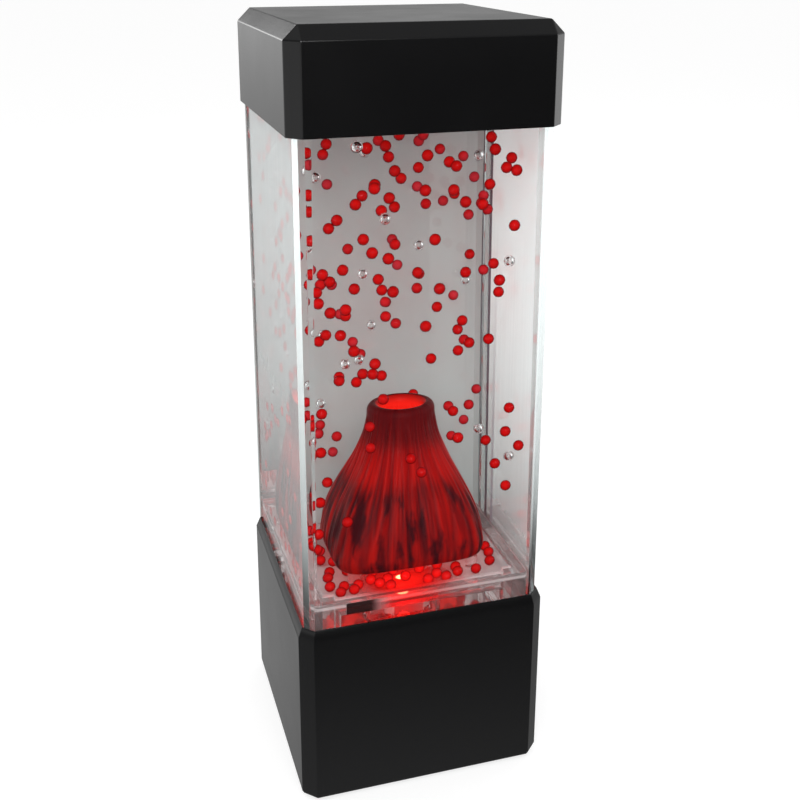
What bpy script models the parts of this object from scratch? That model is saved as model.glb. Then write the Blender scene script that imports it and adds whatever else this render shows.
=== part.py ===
"""Volcano motion lamp: a clear tank of water between a black base and a black cap.

A motor in the base turns two magnets under the tank. Their twins on the impeller follow, and the
impeller sends a jet of water up through the crater, with the beads that lie on the tray.
X runs to the right, Y to the back and Z up. The origin is on the ground under the lamp's middle.
Run it with: blender --background --python part.py
"""

import math

import bmesh
import bpy
from mathutils import Matrix, Vector
from mathutils.geometry import interpolate_bezier

# Driving dimensions, in metres
WIDTH = 0.100  # base and cap, square in plan
BASE_HEIGHT = 0.077  # ground to the base's rim
TANK_SHOWING = 0.188  # clear wall between the base's rim and the cap
CAP_HEIGHT = 0.037
EDGE_CHAMFER = 0.005  # on every moulded edge of base and cap
WALL = 0.002  # black mouldings
SEAT_GAP = 0.0003  # between pieces that touch
SLIP_GAP = 0.0004  # all round the tank, in the base and in the cap
OVERRUN = 0.001  # how far a cutter passes the face it opens
BITE = 0.0005  # how far a joined shape reaches into the one that carries it
ROUND_SIDES = 28
SMALL_ROUND_SIDES = 12
SMALL_RADIUS = 0.0045  # rounds below this get fewer sides

# Cap and gasket
CAP_ROOF = 0.0025
TANK_INTO_CAP = 0.023
GASKET_HEIGHT = 0.0012
GASKET_WIDTH = 0.0024
CAP_LIFT = 0.030

# Base housing
RIM_RUN = 0.0016  # the rim's slope, inwards
RIM_RISE = 0.004  # and upwards
TOE_RUN = 0.0008  # the slope round the base's lower edge
TOE_RISE = 0.0015
TANK_INTO_BASE = 0.009
LEDGE_HEIGHT = 0.002  # shelf that carries the tank
LEDGE_WIDTH = 0.008
BOSS_INSET = 0.0065  # corner bosses, from the outer faces
BOSS_RADIUS = 0.0046
BOSS_HEIGHT = 0.012

# Tank
TANK_WALL = 0.003
TANK_FLOOR = 0.003
PIN_BOSS_RADIUS = 0.003
PIN_BOSS_HEIGHT = 0.0015
PIN_HOLE_DEPTH = 0.0025
FILM_THICKNESS = 0.0005

# Impeller and its pin
PIN_RADIUS = 0.001
RUNNING_GAP = 0.0003
IMPELLER_RADIUS = 0.013
IMPELLER_DISC = 0.0038
HUB_RADIUS = 0.0032
BLADE_COUNT = 6
BLADE_HEIGHT = 0.0031
BLADE_THICKNESS = 0.0012
BLADE_CURVE_RADIUS = 0.009
BLADE_CENTRE_SHARE = 0.8  # of the curve's radius, from the axis to the curve's centre
BLADE_STEPS = 4
MAGNET_RADIUS = 0.003
MAGNET_HEIGHT = 0.0022
MAGNET_ORBIT = 0.0078  # distance of the magnets from the axis

# Tray: the clear false floor that the beads lie on
TRAY_GAP = 0.0004
TRAY_PLATE = 0.003
RAIL_WIDTH = 0.005
RAIL_RISE = 0.002  # rails and corner blocks over the plate
CORNER_BLOCK = 0.0095
SLOT_ROOF = 0.001  # between a water slot and the plate's underside
SLOT_MARGIN = 0.0015  # between a water slot and a corner block
OVER_IMPELLER = 0.001
PUMP_WALL = 0.002
PUMP_GAP = 0.002  # round the impeller's blades
PORT_COUNT = 6
PORT_WIDTH = 0.005
PORT_HEIGHT = 0.005
POST_RADIUS = 0.0025
UNDER_VOLCANO = 0.006  # from the tray to the volcano's foot

# Jet grille
GRILLE_RADIUS = 0.0132
GRILLE_THICKNESS = 0.0012
GRILLE_SEAT = 0.002  # width of the step that it lies on
GRILLE_SLOTS = 8
GRILLE_SLOT_WIDTH = 0.0026
GRILLE_HUB_RADIUS = 0.003
GRILLE_HUB_HEIGHT = 0.0032
GRILLE_RIM = 0.0018

# Volcano
VOLCANO_INSET = 0.0079  # from the tray's rails to the foot, in plan
VOLCANO_HEIGHT = 0.062
CRATER_RADIUS = 0.014  # of the skin, just under the lip
LIP_RADIUS = 0.0052  # of the round turn inwards to the opening
LIP_STEPS = 3
VOLCANO_WALL = 0.0018
FOOT_SQUARENESS = 3.8  # exponent of the foot's outline, where 2 is a circle
CRATER_SQUARENESS = 2.0
FLANK_BEND = 1.1  # how far down the flank swells
FOOT_TUCK_SHARE = 0.05  # how much the very foot draws in, of its width
FOOT_TUCK_HEIGHT_SHARE = 0.09
FLUTE_COUNTS = (14, 9)
FLUTE_DEPTHS = (0.0005, 0.0004)
FLUTE_TURNS = (0.0, 0.9)  # radians
FLUTE_START_SHARE = 0.15  # how far into their swell the flutes are at the very foot
VOLCANO_SIDES = 56
VOLCANO_RINGS = 9

# Beads
BEAD_RADIUS = 0.00225
# Places on the tray, across and back, as shares of the half width between its rails
BEAD_PLACE_SHARES = (
    (-0.80, -0.82),
    (-0.42, -0.88),
    (-0.12, -0.80),
    (0.22, -0.86),
    (0.86, -0.74),
    (0.92, -0.30),
    (0.88, 0.55),
)

# Motor and the driving half of the coupling
MOTOR_RADIUS = 0.010
MOTOR_FLAT_WIDTH = 0.0154
MOTOR_CAP_HEIGHT = 0.006
MOTOR_NOSE_RADIUS = 0.003
MOTOR_NOSE_HEIGHT = 0.0016
SHAFT_RADIUS = 0.001
DISC_RADIUS = 0.0135
DISC_HEIGHT = 0.0055
DISC_UNDER_TANK = 0.0025  # air between the driving disc and the tank
DISC_HUB_HEIGHT = 0.003
DISC_OVER_MOTOR = 0.0048  # air between the disc's hub and the motor's nose
BRACKET_PLATE = 0.0022
BRACKET_DEPTH = 0.030
BRACKET_EDGE = 0.0014  # plastic round a stake's hole
COLLAR_WALL = 0.0026
COLLAR_SHARE = 0.4  # of the can's height that the collar holds
TERMINAL_NOTCH = 0.008
STAKE_RADIUS = 0.0012  # moulded pins that hold the bracket and the ring board
STAKE_GAP = 0.0003

# Ring board and its lights
LED_BOARD_DEPTH = 0.0061  # ledge's underside to the board's
BOARD_THICKNESS = 0.0016
LED_BOARD_GAP = 0.0012  # round the ring board, inside the walls
LED_BOARD_HOLE_RADIUS = 0.017
LED_POST_RADIUS = 0.0032
LED_COUNT = 4
LED_ORBIT = 0.0295
LED_FIRST_ANGLE = math.radians(-99.6)
LED_RADIUS = 0.0025
LED_FLANGE_RADIUS = 0.0029
LED_FLANGE_HEIGHT = 0.001
LED_BODY_HEIGHT = 0.0022
LED_DOME_STEPS = 4

# Bottom cover
FOOT_RADIUS = 0.005
FOOT_HEIGHT = 0.0022
FOOT_SHOWING = 0.0012
FOOT_INSET = 0.0135  # from the base's outer faces
COVER_THICKNESS = 0.0032
COVER_GAP = 0.0003
SCREW_HEAD_RADIUS = 0.0026
SCREW_HEAD_HEIGHT = 0.0013
SCREW_RADIUS = 0.0012
SCREW_LENGTH = 0.009
COUNTERBORE_DEPTH = 0.0018

# Battery bay. At the lamp's real width it takes three AA cells, side by side
BAY_END_INSET = 0.021  # from the base's outer faces to the bay's ends
BAY_SIDE_INSET = 0.0278
BAY_WALL = 0.0016
CELL_COUNT = 3
CELL_GAP = 0.0006  # between neighbours
CELL_NUB_RADIUS = 0.00275
CELL_NUB_LENGTH = 0.001
CONTACT_THICKNESS = 0.0005
CONTACT_GAP = 0.0048  # between neighbours
CONTACT_MARGIN = 0.0016  # from a cell's outline to its contact's edges
SPRING_LENGTH = 0.005
SPRING_TURNS = 3
SPRING_WIRE_RADIUS = 0.00035
SPRING_INSET = 0.0025  # from a cell's outline to the widest turn
SPRING_NARROW_RADIUS = 0.0026
POINTS_PER_TURN = 9
BAY_RIB_WIDTH_SHARE = 0.28  # of a cell's radius
BAY_RIB_HEIGHT_SHARE = 0.34
DOOR_THICKNESS = 0.002
DOOR_LAP = 0.0025  # how far the door reaches past the bay
DOOR_EAR = 0.007  # longer lap that takes the door's screw
DOOR_RIB_COUNT = 3
DOOR_RIB_WIDTH = 0.0016
DOOR_DROP = 0.020
DOOR_BOSS_HEIGHT = 0.008

# Rear controls
CONTROL_BOARD_WIDTH = 0.048
CONTROL_BOARD_DEPTH = 0.024
CONTROL_OVER_BAY = 0.0112  # from the bay's roof to the board's underside
CONTROL_RIB_WIDTH = 0.003
CONTROL_RIB_HEIGHT = 0.005
CONTROL_RIB_DEPTH = 0.018
CONTROL_BOARD_WALL_GAP = 0.0015
CONTROL_END_INSET = 0.011  # from the board's ends to the switch and the jack
SWITCH_WIDTH = 0.010
SWITCH_DEPTH = 0.006
SWITCH_HEIGHT = 0.0055
SWITCH_TRAVEL = 0.003
SLIDER_WIDTH = 0.003
SLIDER_HEIGHT = 0.0022
SLIDER_REACH = 0.0035  # into the switch's body
SLIDER_SLACK = 0.0005
DISH_WIDTH = 0.016
DISH_HEIGHT = 0.008
DISH_DEPTH = 0.0008
JACK_WIDTH = 0.009
JACK_HEIGHT = 0.011
JACK_DEPTH = 0.013
JACK_NOSE_RADIUS = 0.0037
JACK_BORE_RADIUS = 0.00275
JACK_BORE_DEPTH = 0.0095
JACK_PIN_RADIUS = 0.0009
CONTROL_RECESS = 0.0003  # of the jack's nose and the slider, behind the wall's outer face

# Internal leads
LEAD_RADIUS = 0.0007
LEAD_STRAIGHT = 0.003
LEAD_STEPS = 10
LEAD_BEVEL_STEPS = 2
LEAD_BEND_SHARE = 0.15  # of the run's length, at each end
LEAD_HOLE_GAP = 0.0005


def inset_corner(corner, inset):
    """Leg of a 45 degree corner cut on an outline that runs inset inside the first."""
    return corner - inset * (2 - math.sqrt(2))


# Heights, worked out upwards from the ground
COVER_Z = FOOT_SHOWING
COVER_TOP = COVER_Z + COVER_THICKNESS
LEDGE_TOP = BASE_HEIGHT - TANK_INTO_BASE
LEDGE_BOTTOM = LEDGE_TOP - LEDGE_HEIGHT
TANK_Z = LEDGE_TOP + SEAT_GAP
TANK_INSIDE_Z = TANK_Z + TANK_FLOOR
CAP_Z = BASE_HEIGHT + TANK_SHOWING
TANK_TOP = CAP_Z + TANK_INTO_CAP
GASKET_Z = TANK_TOP + SEAT_GAP
CAP_SEAT = GASKET_Z + GASKET_HEIGHT + SEAT_GAP
CAP_TOP = CAP_Z + CAP_HEIGHT
IMPELLER_Z = TANK_INSIDE_Z + PIN_BOSS_HEIGHT + RUNNING_GAP
BLADE_Z = IMPELLER_Z + IMPELLER_DISC
BLADE_TOP = BLADE_Z + BLADE_HEIGHT
PLATE_Z = BLADE_TOP + OVER_IMPELLER
PLATE_TOP = PLATE_Z + TRAY_PLATE
RAIL_TOP = PLATE_TOP + RAIL_RISE
TRAY_Z = TANK_INSIDE_Z + SEAT_GAP
VOLCANO_Z = PLATE_TOP + UNDER_VOLCANO
LED_BOARD_Z = LEDGE_BOTTOM - LED_BOARD_DEPTH
LED_Z = LED_BOARD_Z + BOARD_THICKNESS + SEAT_GAP
DISC_TOP = TANK_Z - DISC_UNDER_TANK
DISC_Z = DISC_TOP - DISC_HEIGHT

# The bay's inside, with its cells, springs and contacts
BAY_HALF_LENGTH = WIDTH / 2 - BAY_END_INSET
BAY_HALF_WIDTH = WIDTH / 2 - BAY_SIDE_INSET
CELL_PITCH = 2 * BAY_HALF_WIDTH / CELL_COUNT
CELL_RADIUS = (CELL_PITCH - CELL_GAP) / 2
CONTACT_ROOM = CONTACT_THICKNESS + 2 * SEAT_GAP
SPRING_ROOM = SPRING_LENGTH + SEAT_GAP
CELL_LENGTH = 2 * (BAY_HALF_LENGTH - CONTACT_ROOM) - SPRING_ROOM - CELL_NUB_LENGTH
BAY_RIB_WIDTH = CELL_RADIUS * BAY_RIB_WIDTH_SHARE
BAY_RIB_HEIGHT = CELL_RADIUS * BAY_RIB_HEIGHT_SHARE
CONTACT_WIDTH = CELL_PITCH - CONTACT_GAP
CONTACT_HEIGHT = 2 * (CELL_RADIUS - CONTACT_MARGIN)
SPRING_WIDE_RADIUS = CELL_RADIUS - SPRING_INSET
CELL_Z = COVER_TOP + SEAT_GAP + CELL_RADIUS
BAY_CEILING = CELL_Z + CELL_RADIUS + SEAT_GAP
BAY_TOP = BAY_CEILING + BAY_WALL
CONTROL_BOARD_Z = BAY_TOP + CONTROL_OVER_BAY
CONTROL_BOARD_TOP = CONTROL_BOARD_Z + BOARD_THICKNESS
BRACKET_Z = BAY_TOP + SEAT_GAP
MOTOR_CAP_Z = BRACKET_Z + BRACKET_PLATE + SEAT_GAP
CAN_Z = MOTOR_CAP_Z + MOTOR_CAP_HEIGHT + SEAT_GAP
CAN_TOP = DISC_Z - DISC_HUB_HEIGHT - DISC_OVER_MOTOR - MOTOR_NOSE_HEIGHT
COLLAR_TOP = CAN_Z + (CAN_TOP - CAN_Z) * COLLAR_SHARE
COLLAR_INSIDE = MOTOR_RADIUS + SEAT_GAP
COLLAR_RADIUS = COLLAR_INSIDE + COLLAR_WALL
STAKE_HOLE_RADIUS = STAKE_RADIUS + STAKE_GAP
BRACKET_STAKE_X = COLLAR_RADIUS + BRACKET_EDGE + STAKE_HOLE_RADIUS
BRACKET_END = BRACKET_STAKE_X + STAKE_HOLE_RADIUS + BRACKET_EDGE

# Plan sizes that follow from the walls
HALF = WIDTH / 2
CAVITY_HALF = HALF - WALL
CAVITY_CORNER = inset_corner(EDGE_CHAMFER, WALL)
TANK_HALF = CAVITY_HALF - SLIP_GAP
TANK_CORNER = inset_corner(CAVITY_CORNER, SLIP_GAP)
WATER_HALF = TANK_HALF - TANK_WALL
WATER_CORNER = inset_corner(TANK_CORNER, TANK_WALL)
TRAY_HALF = WATER_HALF - TRAY_GAP
TRAY_INSIDE = TRAY_HALF - RAIL_WIDTH
VOLCANO_FOOT_HALF = TRAY_INSIDE - VOLCANO_INSET
PUMP_RADIUS = IMPELLER_RADIUS + PUMP_GAP
PIN_Z = TANK_INSIDE_Z + PIN_BOSS_HEIGHT - PIN_HOLE_DEPTH
JACK_X = CONTROL_BOARD_WIDTH / 2 - CONTROL_END_INSET
SWITCH_X = -JACK_X
SWITCH_MIDDLE = SWITCH_X + SWITCH_TRAVEL / 2
SWITCH_SLOT_WIDTH = SLIDER_WIDTH + SWITCH_TRAVEL + 2 * SLIDER_SLACK
FOUR_CORNERS = ((-1, -1), (1, -1), (1, 1), (-1, 1))


def clear_scene():
    for obj in list(bpy.data.objects):
        bpy.data.objects.remove(obj, do_unlink=True)


def collection(name):
    made = bpy.data.collections.new(name)
    bpy.context.scene.collection.children.link(made)
    return made


def finish(name, colour, roughness, metallic=0.0, transmission=0.0):
    """Principled BSDF of one colour."""
    made = bpy.data.materials.new(name)
    made.use_nodes = True
    shader = made.node_tree.nodes["Principled BSDF"]
    shader.inputs["Base Color"].default_value = (*colour, 1.0)
    shader.inputs["Roughness"].default_value = roughness
    shader.inputs["Metallic"].default_value = metallic
    shader.inputs["Transmission Weight"].default_value = transmission
    made.diffuse_color = (*colour, 1.0)
    return made


clear_scene()
PARTS = collection("volcano_motion_lamp")
CUTTERS = collection("cutters")

BLACK_PLASTIC = finish("black_plastic", (0.012, 0.012, 0.013), 0.38)
CLEAR_ACRYLIC = finish("clear_acrylic", (0.95, 0.96, 0.96), 0.03, transmission=1.0)
GREY_FILM = finish("grey_film", (0.37, 0.37, 0.35), 0.55)
RED_SHELL = finish("red_shell", (0.32, 0.012, 0.008), 0.30, transmission=0.5)
RED_BEAD = finish("red_bead", (0.65, 0.01, 0.008), 0.12, transmission=0.6)
SILICONE = finish("silicone", (0.55, 0.55, 0.53), 0.60)
RUBBER = finish("rubber", (0.03, 0.03, 0.03), 0.80)
WHITE_PLASTIC = finish("white_plastic", (0.72, 0.72, 0.70), 0.42)
MAGNET = finish("magnet", (0.42, 0.42, 0.43), 0.28, metallic=1.0)
STEEL = finish("steel", (0.55, 0.55, 0.56), 0.30, metallic=1.0)
SPRING_STEEL = finish("spring_steel", (0.62, 0.60, 0.56), 0.25, metallic=1.0)
GREEN_BOARD = finish("green_board", (0.02, 0.16, 0.06), 0.45)
RED_LENS = finish("red_lens", (0.75, 0.02, 0.01), 0.10, transmission=0.7)
CELL_SLEEVE = finish("cell_sleeve", (0.10, 0.10, 0.11), 0.35, metallic=0.4)
RED_SLEEVE = finish("red_sleeve", (0.45, 0.02, 0.02), 0.50)
BLACK_SLEEVE = finish("black_sleeve", (0.02, 0.02, 0.02), 0.50)


def box(x, y, z):
    """Block between a low and a high limit on each axis."""
    bm = bmesh.new()
    bmesh.ops.create_cube(bm, size=1)
    limits = (x, y, z)
    bmesh.ops.scale(bm, vec=[high - low for low, high in limits], verts=bm.verts)
    bmesh.ops.translate(bm, vec=[(high + low) / 2 for low, high in limits], verts=bm.verts)
    return bm


def around(centre, size):
    """Limits of a length laid evenly about a centre."""
    return centre - size / 2, centre + size / 2


def is_upright(edge):
    run = edge.verts[1].co - edge.verts[0].co
    return abs(run.normalized().z) > 0.99


def post(half, corner, z):
    """Square column with its upright edges cut at 45 degrees."""
    bm = box((-half, half), (-half, half), z)
    edges = [edge for edge in bm.edges if is_upright(edge)]
    bmesh.ops.bevel(bm, geom=edges, offset=corner, segments=1, affect="EDGES")
    return bm


def only(geometry, kind):
    """The vertices, or the edges, among what a mesh tool returns."""
    return [item for item in geometry if isinstance(item, kind)]


def end_face(bm, top):
    """The flat face at one end of a column."""
    pick = max if top else min
    return pick(bm.faces, key=lambda face: face.calc_center_median().z)


def rod(radius, start, end):
    """Cylinder between two points."""
    start, end = Vector(start), Vector(end)
    run = end - start
    sides = SMALL_ROUND_SIDES if radius < SMALL_RADIUS else ROUND_SIDES
    turn = Vector((0, 0, 1)).rotation_difference(run).to_matrix().to_4x4()
    place = Matrix.Translation((start + end) / 2) @ turn
    bm = bmesh.new()
    size = {"radius1": radius, "radius2": radius, "depth": run.length}
    bmesh.ops.create_cone(bm, cap_ends=True, segments=sides, matrix=place, **size)
    return bm


def upright_rod(radius, z, x=0.0, y=0.0):
    return rod(radius, (x, y, z[0]), (x, y, z[1]))


def repeat_round(bm, count):
    """Copies of a shape turned about the Z axis, evenly, the shape itself among them."""
    geometry = bm.verts[:] + bm.edges[:] + bm.faces[:]
    bmesh.ops.spin(
        bm,
        geom=geometry,
        cent=(0, 0, 0),
        axis=(0, 0, 1),
        angle=math.tau * (count - 1) / count,
        steps=count - 1,
        use_duplicate=True,
    )
    return bm


def mesh_object(name, bm, home):
    mesh = bpy.data.meshes.new(name)
    bm.to_mesh(mesh)
    bm.free()
    obj = bpy.data.objects.new(name, mesh)
    home.objects.link(obj)
    return obj


def shade(obj):
    """Smooth over round faces, sharp at real edges."""
    obj.data.shade_smooth()
    obj.data.set_sharp_from_angle(angle=math.radians(30))


def piece(name, bm, material):
    """One sub-part of the lamp, from a mesh."""
    obj = mesh_object(name, bm, PARTS)
    obj.data.materials.append(material)
    shade(obj)
    return obj


def combine(target, operation, shapes):
    for shape in shapes:
        name = f"{target.name}_{operation.lower()}_{len(target.modifiers) + 1}"
        tool = mesh_object(name, shape, CUTTERS)
        tool.hide_render = True
        tool.display_type = "WIRE"
        modifier = target.modifiers.new(name, "BOOLEAN")
        modifier.operation = operation
        modifier.solver = "EXACT"
        modifier.object = tool


def cut(target, *shapes):
    combine(target, "DIFFERENCE", shapes)


def join(target, *shapes):
    combine(target, "UNION", shapes)


def turned(name, profile, material, sides=ROUND_SIDES, location=(0, 0, 0), rotation=(0, 0, 0)):
    """Turned piece. Its profile runs down the outer side, in pairs of radius and height."""
    mesh = bpy.data.meshes.new(name)
    points = [(radius, 0, height) for radius, height in profile]
    mesh.from_pydata(points, [(i, i + 1) for i in range(len(points) - 1)], [])
    obj = bpy.data.objects.new(name, mesh)
    PARTS.objects.link(obj)
    obj.location = location
    obj.rotation_euler = rotation
    obj.data.materials.append(material)
    screw = obj.modifiers.new("turn", "SCREW")
    screw.steps = sides
    screw.render_steps = sides
    screw.use_merge_vertices = True
    screw.merge_threshold = 0.00001
    screw.use_smooth_shade = True
    return obj


def tube(name, points, radius, material, bevel_resolution=LEAD_BEVEL_STEPS):
    """Round wire along its points, closed at both ends."""
    curve = bpy.data.curves.new(name, "CURVE")
    curve.dimensions = "3D"
    curve.bevel_depth = radius
    curve.bevel_resolution = bevel_resolution
    curve.use_fill_caps = True
    spline = curve.splines.new("POLY")
    spline.points.add(len(points) - 1)
    for target, point in zip(spline.points, points):
        target.co = (*point, 1.0)
    obj = bpy.data.objects.new(name, curve)
    PARTS.objects.link(obj)
    curve.materials.append(material)
    return obj


def thicken(obj, thickness, outwards=False):
    """Give an open skin its wall."""
    wall = obj.modifiers.new("wall", "SOLIDIFY")
    wall.thickness = thickness
    wall.offset = 1 if outwards else -1
    wall.use_even_offset = True


def carrier(name, location):
    """Empty on a joint's axis, which carries the pieces that move together."""
    empty = bpy.data.objects.new(name, None)
    empty.empty_display_size = WALL
    empty.location = location
    PARTS.objects.link(empty)
    return empty


def ride(empty, *pieces):
    for obj in pieces:
        obj.parent = empty
        obj.matrix_parent_inverse = Matrix.Translation(empty.location).inverted()


def make_cap():
    """Lid with one chamfer on all its top and upright edges, which stands on the tank's mouth."""
    bm = box((-HALF, HALF), (-HALF, HALF), (CAP_Z, CAP_TOP))
    bottom_edges = set(end_face(bm, top=False).edges)
    edges = [edge for edge in bm.edges if edge not in bottom_edges]
    bmesh.ops.bevel(bm, geom=edges, offset=EDGE_CHAMFER, segments=1, affect="EDGES")
    cap = piece("cap", bm, BLACK_PLASTIC)
    cut(
        cap,
        post(CAVITY_HALF, CAVITY_CORNER, (CAP_Z - OVERRUN, CAP_SEAT)),
        post(WATER_HALF, WATER_CORNER, (CAP_SEAT - OVERRUN, CAP_TOP - CAP_ROOF)),
    )
    gasket_inside = TANK_HALF - GASKET_WIDTH
    gasket_top = GASKET_Z + GASKET_HEIGHT
    gasket = piece("lid_gasket", post(TANK_HALF, TANK_CORNER, (GASKET_Z, gasket_top)), SILICONE)
    inside_corner = inset_corner(TANK_CORNER, GASKET_WIDTH)
    cut(gasket, post(gasket_inside, inside_corner, (GASKET_Z - OVERRUN, gasket_top + OVERRUN)))
    ride(carrier("cap_lift", (0, 0, CAP_SEAT)), cap, gasket)


def make_tank():
    """Square clear tank with its floor and a boss for the impeller's pin, and the film behind it."""
    tank = piece("tank", post(TANK_HALF, TANK_CORNER, (TANK_Z, TANK_TOP)), CLEAR_ACRYLIC)
    boss_top = TANK_INSIDE_Z + PIN_BOSS_HEIGHT
    cut(tank, post(WATER_HALF, WATER_CORNER, (TANK_INSIDE_Z, TANK_TOP + OVERRUN)))
    join(tank, upright_rod(PIN_BOSS_RADIUS, (TANK_INSIDE_Z - BITE, boss_top)))
    cut(tank, upright_rod(PIN_RADIUS + RUNNING_GAP, (PIN_Z, boss_top + OVERRUN)))

    film_z = (BASE_HEIGHT + SEAT_GAP, CAP_Z - SEAT_GAP)
    bm = post(TANK_HALF + SEAT_GAP, inset_corner(TANK_CORNER, -SEAT_GAP), film_z)
    others = [face for face in bm.faces if face.normal.y < 0.5]
    bmesh.ops.delete(bm, geom=others, context="FACES")
    thicken(piece("back_film", bm, GREY_FILM), FILM_THICKNESS, outwards=True)


def blade():
    """One curved blade: an arc of even thickness from the hub to the disc's edge."""
    centre = Vector(((HUB_RADIUS + IMPELLER_RADIUS) / 2, -BLADE_CURVE_RADIUS * BLADE_CENTRE_SHARE))
    reach = math.asin((IMPELLER_RADIUS - HUB_RADIUS) / (2 * BLADE_CURVE_RADIUS))
    bm = bmesh.new()
    outline = []
    for side, order in ((1, range(BLADE_STEPS + 1)), (-1, range(BLADE_STEPS, -1, -1))):
        radius = BLADE_CURVE_RADIUS + side * BLADE_THICKNESS / 2
        for step in order:
            angle = math.pi / 2 + reach * (1 - 2 * step / BLADE_STEPS)
            point = centre + radius * Vector((math.cos(angle), math.sin(angle)))
            outline.append(bm.verts.new((*point, BLADE_Z - BITE)))
    face = bm.faces.new(outline)
    grown = bmesh.ops.extrude_face_region(bm, geom=[face])["geom"]
    rise = Vector((0, 0, BLADE_TOP - BLADE_Z + BITE))
    bmesh.ops.translate(bm, vec=rise, verts=only(grown, bmesh.types.BMVert))
    bmesh.ops.recalc_face_normals(bm, faces=bm.faces)
    return bm


def magnet_places():
    return ((1, -MAGNET_ORBIT), (2, MAGNET_ORBIT))


def make_impeller():
    """Magnet disc with curved blades, which turns on a fixed pin, and its two magnets."""
    disc = upright_rod(IMPELLER_RADIUS, (IMPELLER_Z, BLADE_Z))
    impeller = piece("impeller", disc, WHITE_PLASTIC)
    join(
        impeller,
        repeat_round(blade(), BLADE_COUNT),
        upright_rod(HUB_RADIUS + BLADE_THICKNESS, (BLADE_Z - BITE, BLADE_TOP)),
    )
    cut(impeller, upright_rod(PIN_RADIUS + RUNNING_GAP, (IMPELLER_Z - OVERRUN, BLADE_TOP + OVERRUN)))
    moving = [impeller]
    for number, x in magnet_places():
        magnet_z = (IMPELLER_Z, IMPELLER_Z + MAGNET_HEIGHT)
        pocket_z = (IMPELLER_Z - OVERRUN, magnet_z[1] + SEAT_GAP)
        cut(impeller, upright_rod(MAGNET_RADIUS + SEAT_GAP, pocket_z, x))
        magnet = upright_rod(MAGNET_RADIUS, magnet_z, x)
        moving.append(piece(f"impeller_magnet_{number}", magnet, MAGNET))
    ride(carrier("impeller_spin", (0, 0, IMPELLER_Z)), *moving)

    pin_top = BLADE_TOP + OVER_IMPELLER / 2 + PIN_HOLE_DEPTH / 2
    piece("impeller_pin", upright_rod(PIN_RADIUS, (PIN_Z + SEAT_GAP, pin_top)), STEEL)
    return pin_top


def make_grille(pin_top):
    """Slotted disc over the impeller. Its hub holds the top of the pin."""
    top = PLATE_TOP
    low = top - GRILLE_THICKNESS
    hub_low = top - GRILLE_HUB_HEIGHT
    grille = piece("jet_grille", upright_rod(GRILLE_RADIUS, (low, top)), CLEAR_ACRYLIC)
    slot_x = (GRILLE_HUB_RADIUS + GRILLE_SLOT_WIDTH, GRILLE_RADIUS - GRILLE_SEAT)
    slot = box(slot_x, around(0, GRILLE_SLOT_WIDTH), (low - OVERRUN, top + OVERRUN))
    cut(grille, repeat_round(slot, GRILLE_SLOTS))
    join(grille, upright_rod(GRILLE_HUB_RADIUS, (hub_low, low + BITE)))
    hole = (hub_low - OVERRUN, pin_top + SEAT_GAP)
    cut(grille, upright_rod(PIN_RADIUS + SEAT_GAP, hole))


def make_tray():
    """False floor with corner blocks and rails, water slots front and back, and the pump's ring."""
    corner = inset_corner(WATER_CORNER, TRAY_GAP)
    tray = piece("tray", post(TRAY_HALF, corner, (TRAY_Z, RAIL_TOP)), CLEAR_ACRYLIC)
    block_inside = TRAY_HALF - CORNER_BLOCK
    for low, high in ((PLATE_TOP, RAIL_TOP + OVERRUN), (TRAY_Z - OVERRUN, PLATE_Z)):
        for x, y in ((block_inside, TRAY_INSIDE), (TRAY_INSIDE, block_inside)):
            cut(tray, box((-x, x), (-y, y), (low, high)))
    slot_half = block_inside - SLOT_MARGIN
    slot_y = TRAY_HALF + OVERRUN
    slot_z = (TRAY_Z - OVERRUN, PLATE_Z - SLOT_ROOF)
    cut(tray, box((-slot_half, slot_half), (-slot_y, slot_y), slot_z))

    ring = upright_rod(PUMP_RADIUS + PUMP_WALL, (TRAY_Z, PLATE_Z + BITE))
    join(tray, ring)
    for x, y in FOUR_CORNERS:
        reach = (volcano_radius(0, math.pi / 4) - VOLCANO_WALL / 2) / math.sqrt(2)
        post_z = (PLATE_TOP - BITE, VOLCANO_Z - SEAT_GAP)
        join(tray, upright_rod(POST_RADIUS, post_z, x * reach, y * reach))
    grille_seat = PLATE_TOP - GRILLE_THICKNESS - SEAT_GAP
    cut(
        tray,
        upright_rod(PUMP_RADIUS, (TRAY_Z - OVERRUN, PLATE_Z)),
        upright_rod(GRILLE_RADIUS - GRILLE_SEAT, (PLATE_Z - OVERRUN, PLATE_TOP)),
        upright_rod(GRILLE_RADIUS + SEAT_GAP, (grille_seat, PLATE_TOP + OVERRUN)),
    )
    port_x = (PUMP_RADIUS - PUMP_WALL, PUMP_RADIUS + 2 * PUMP_WALL)
    port = box(port_x, around(0, PORT_WIDTH), (TRAY_Z - OVERRUN, TRAY_Z + PORT_HEIGHT))
    cut(tray, repeat_round(port, PORT_COUNT))


def flank_share(height_share):
    """How far the outline is between the crater's, 0, and the foot's, 1."""
    share = (1 + math.cos(math.pi * height_share**FLANK_BEND)) / 2
    low = max(0.0, 1 - height_share / FOOT_TUCK_HEIGHT_SHARE)
    return share * (1 - FOOT_TUCK_SHARE * low**2)


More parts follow.
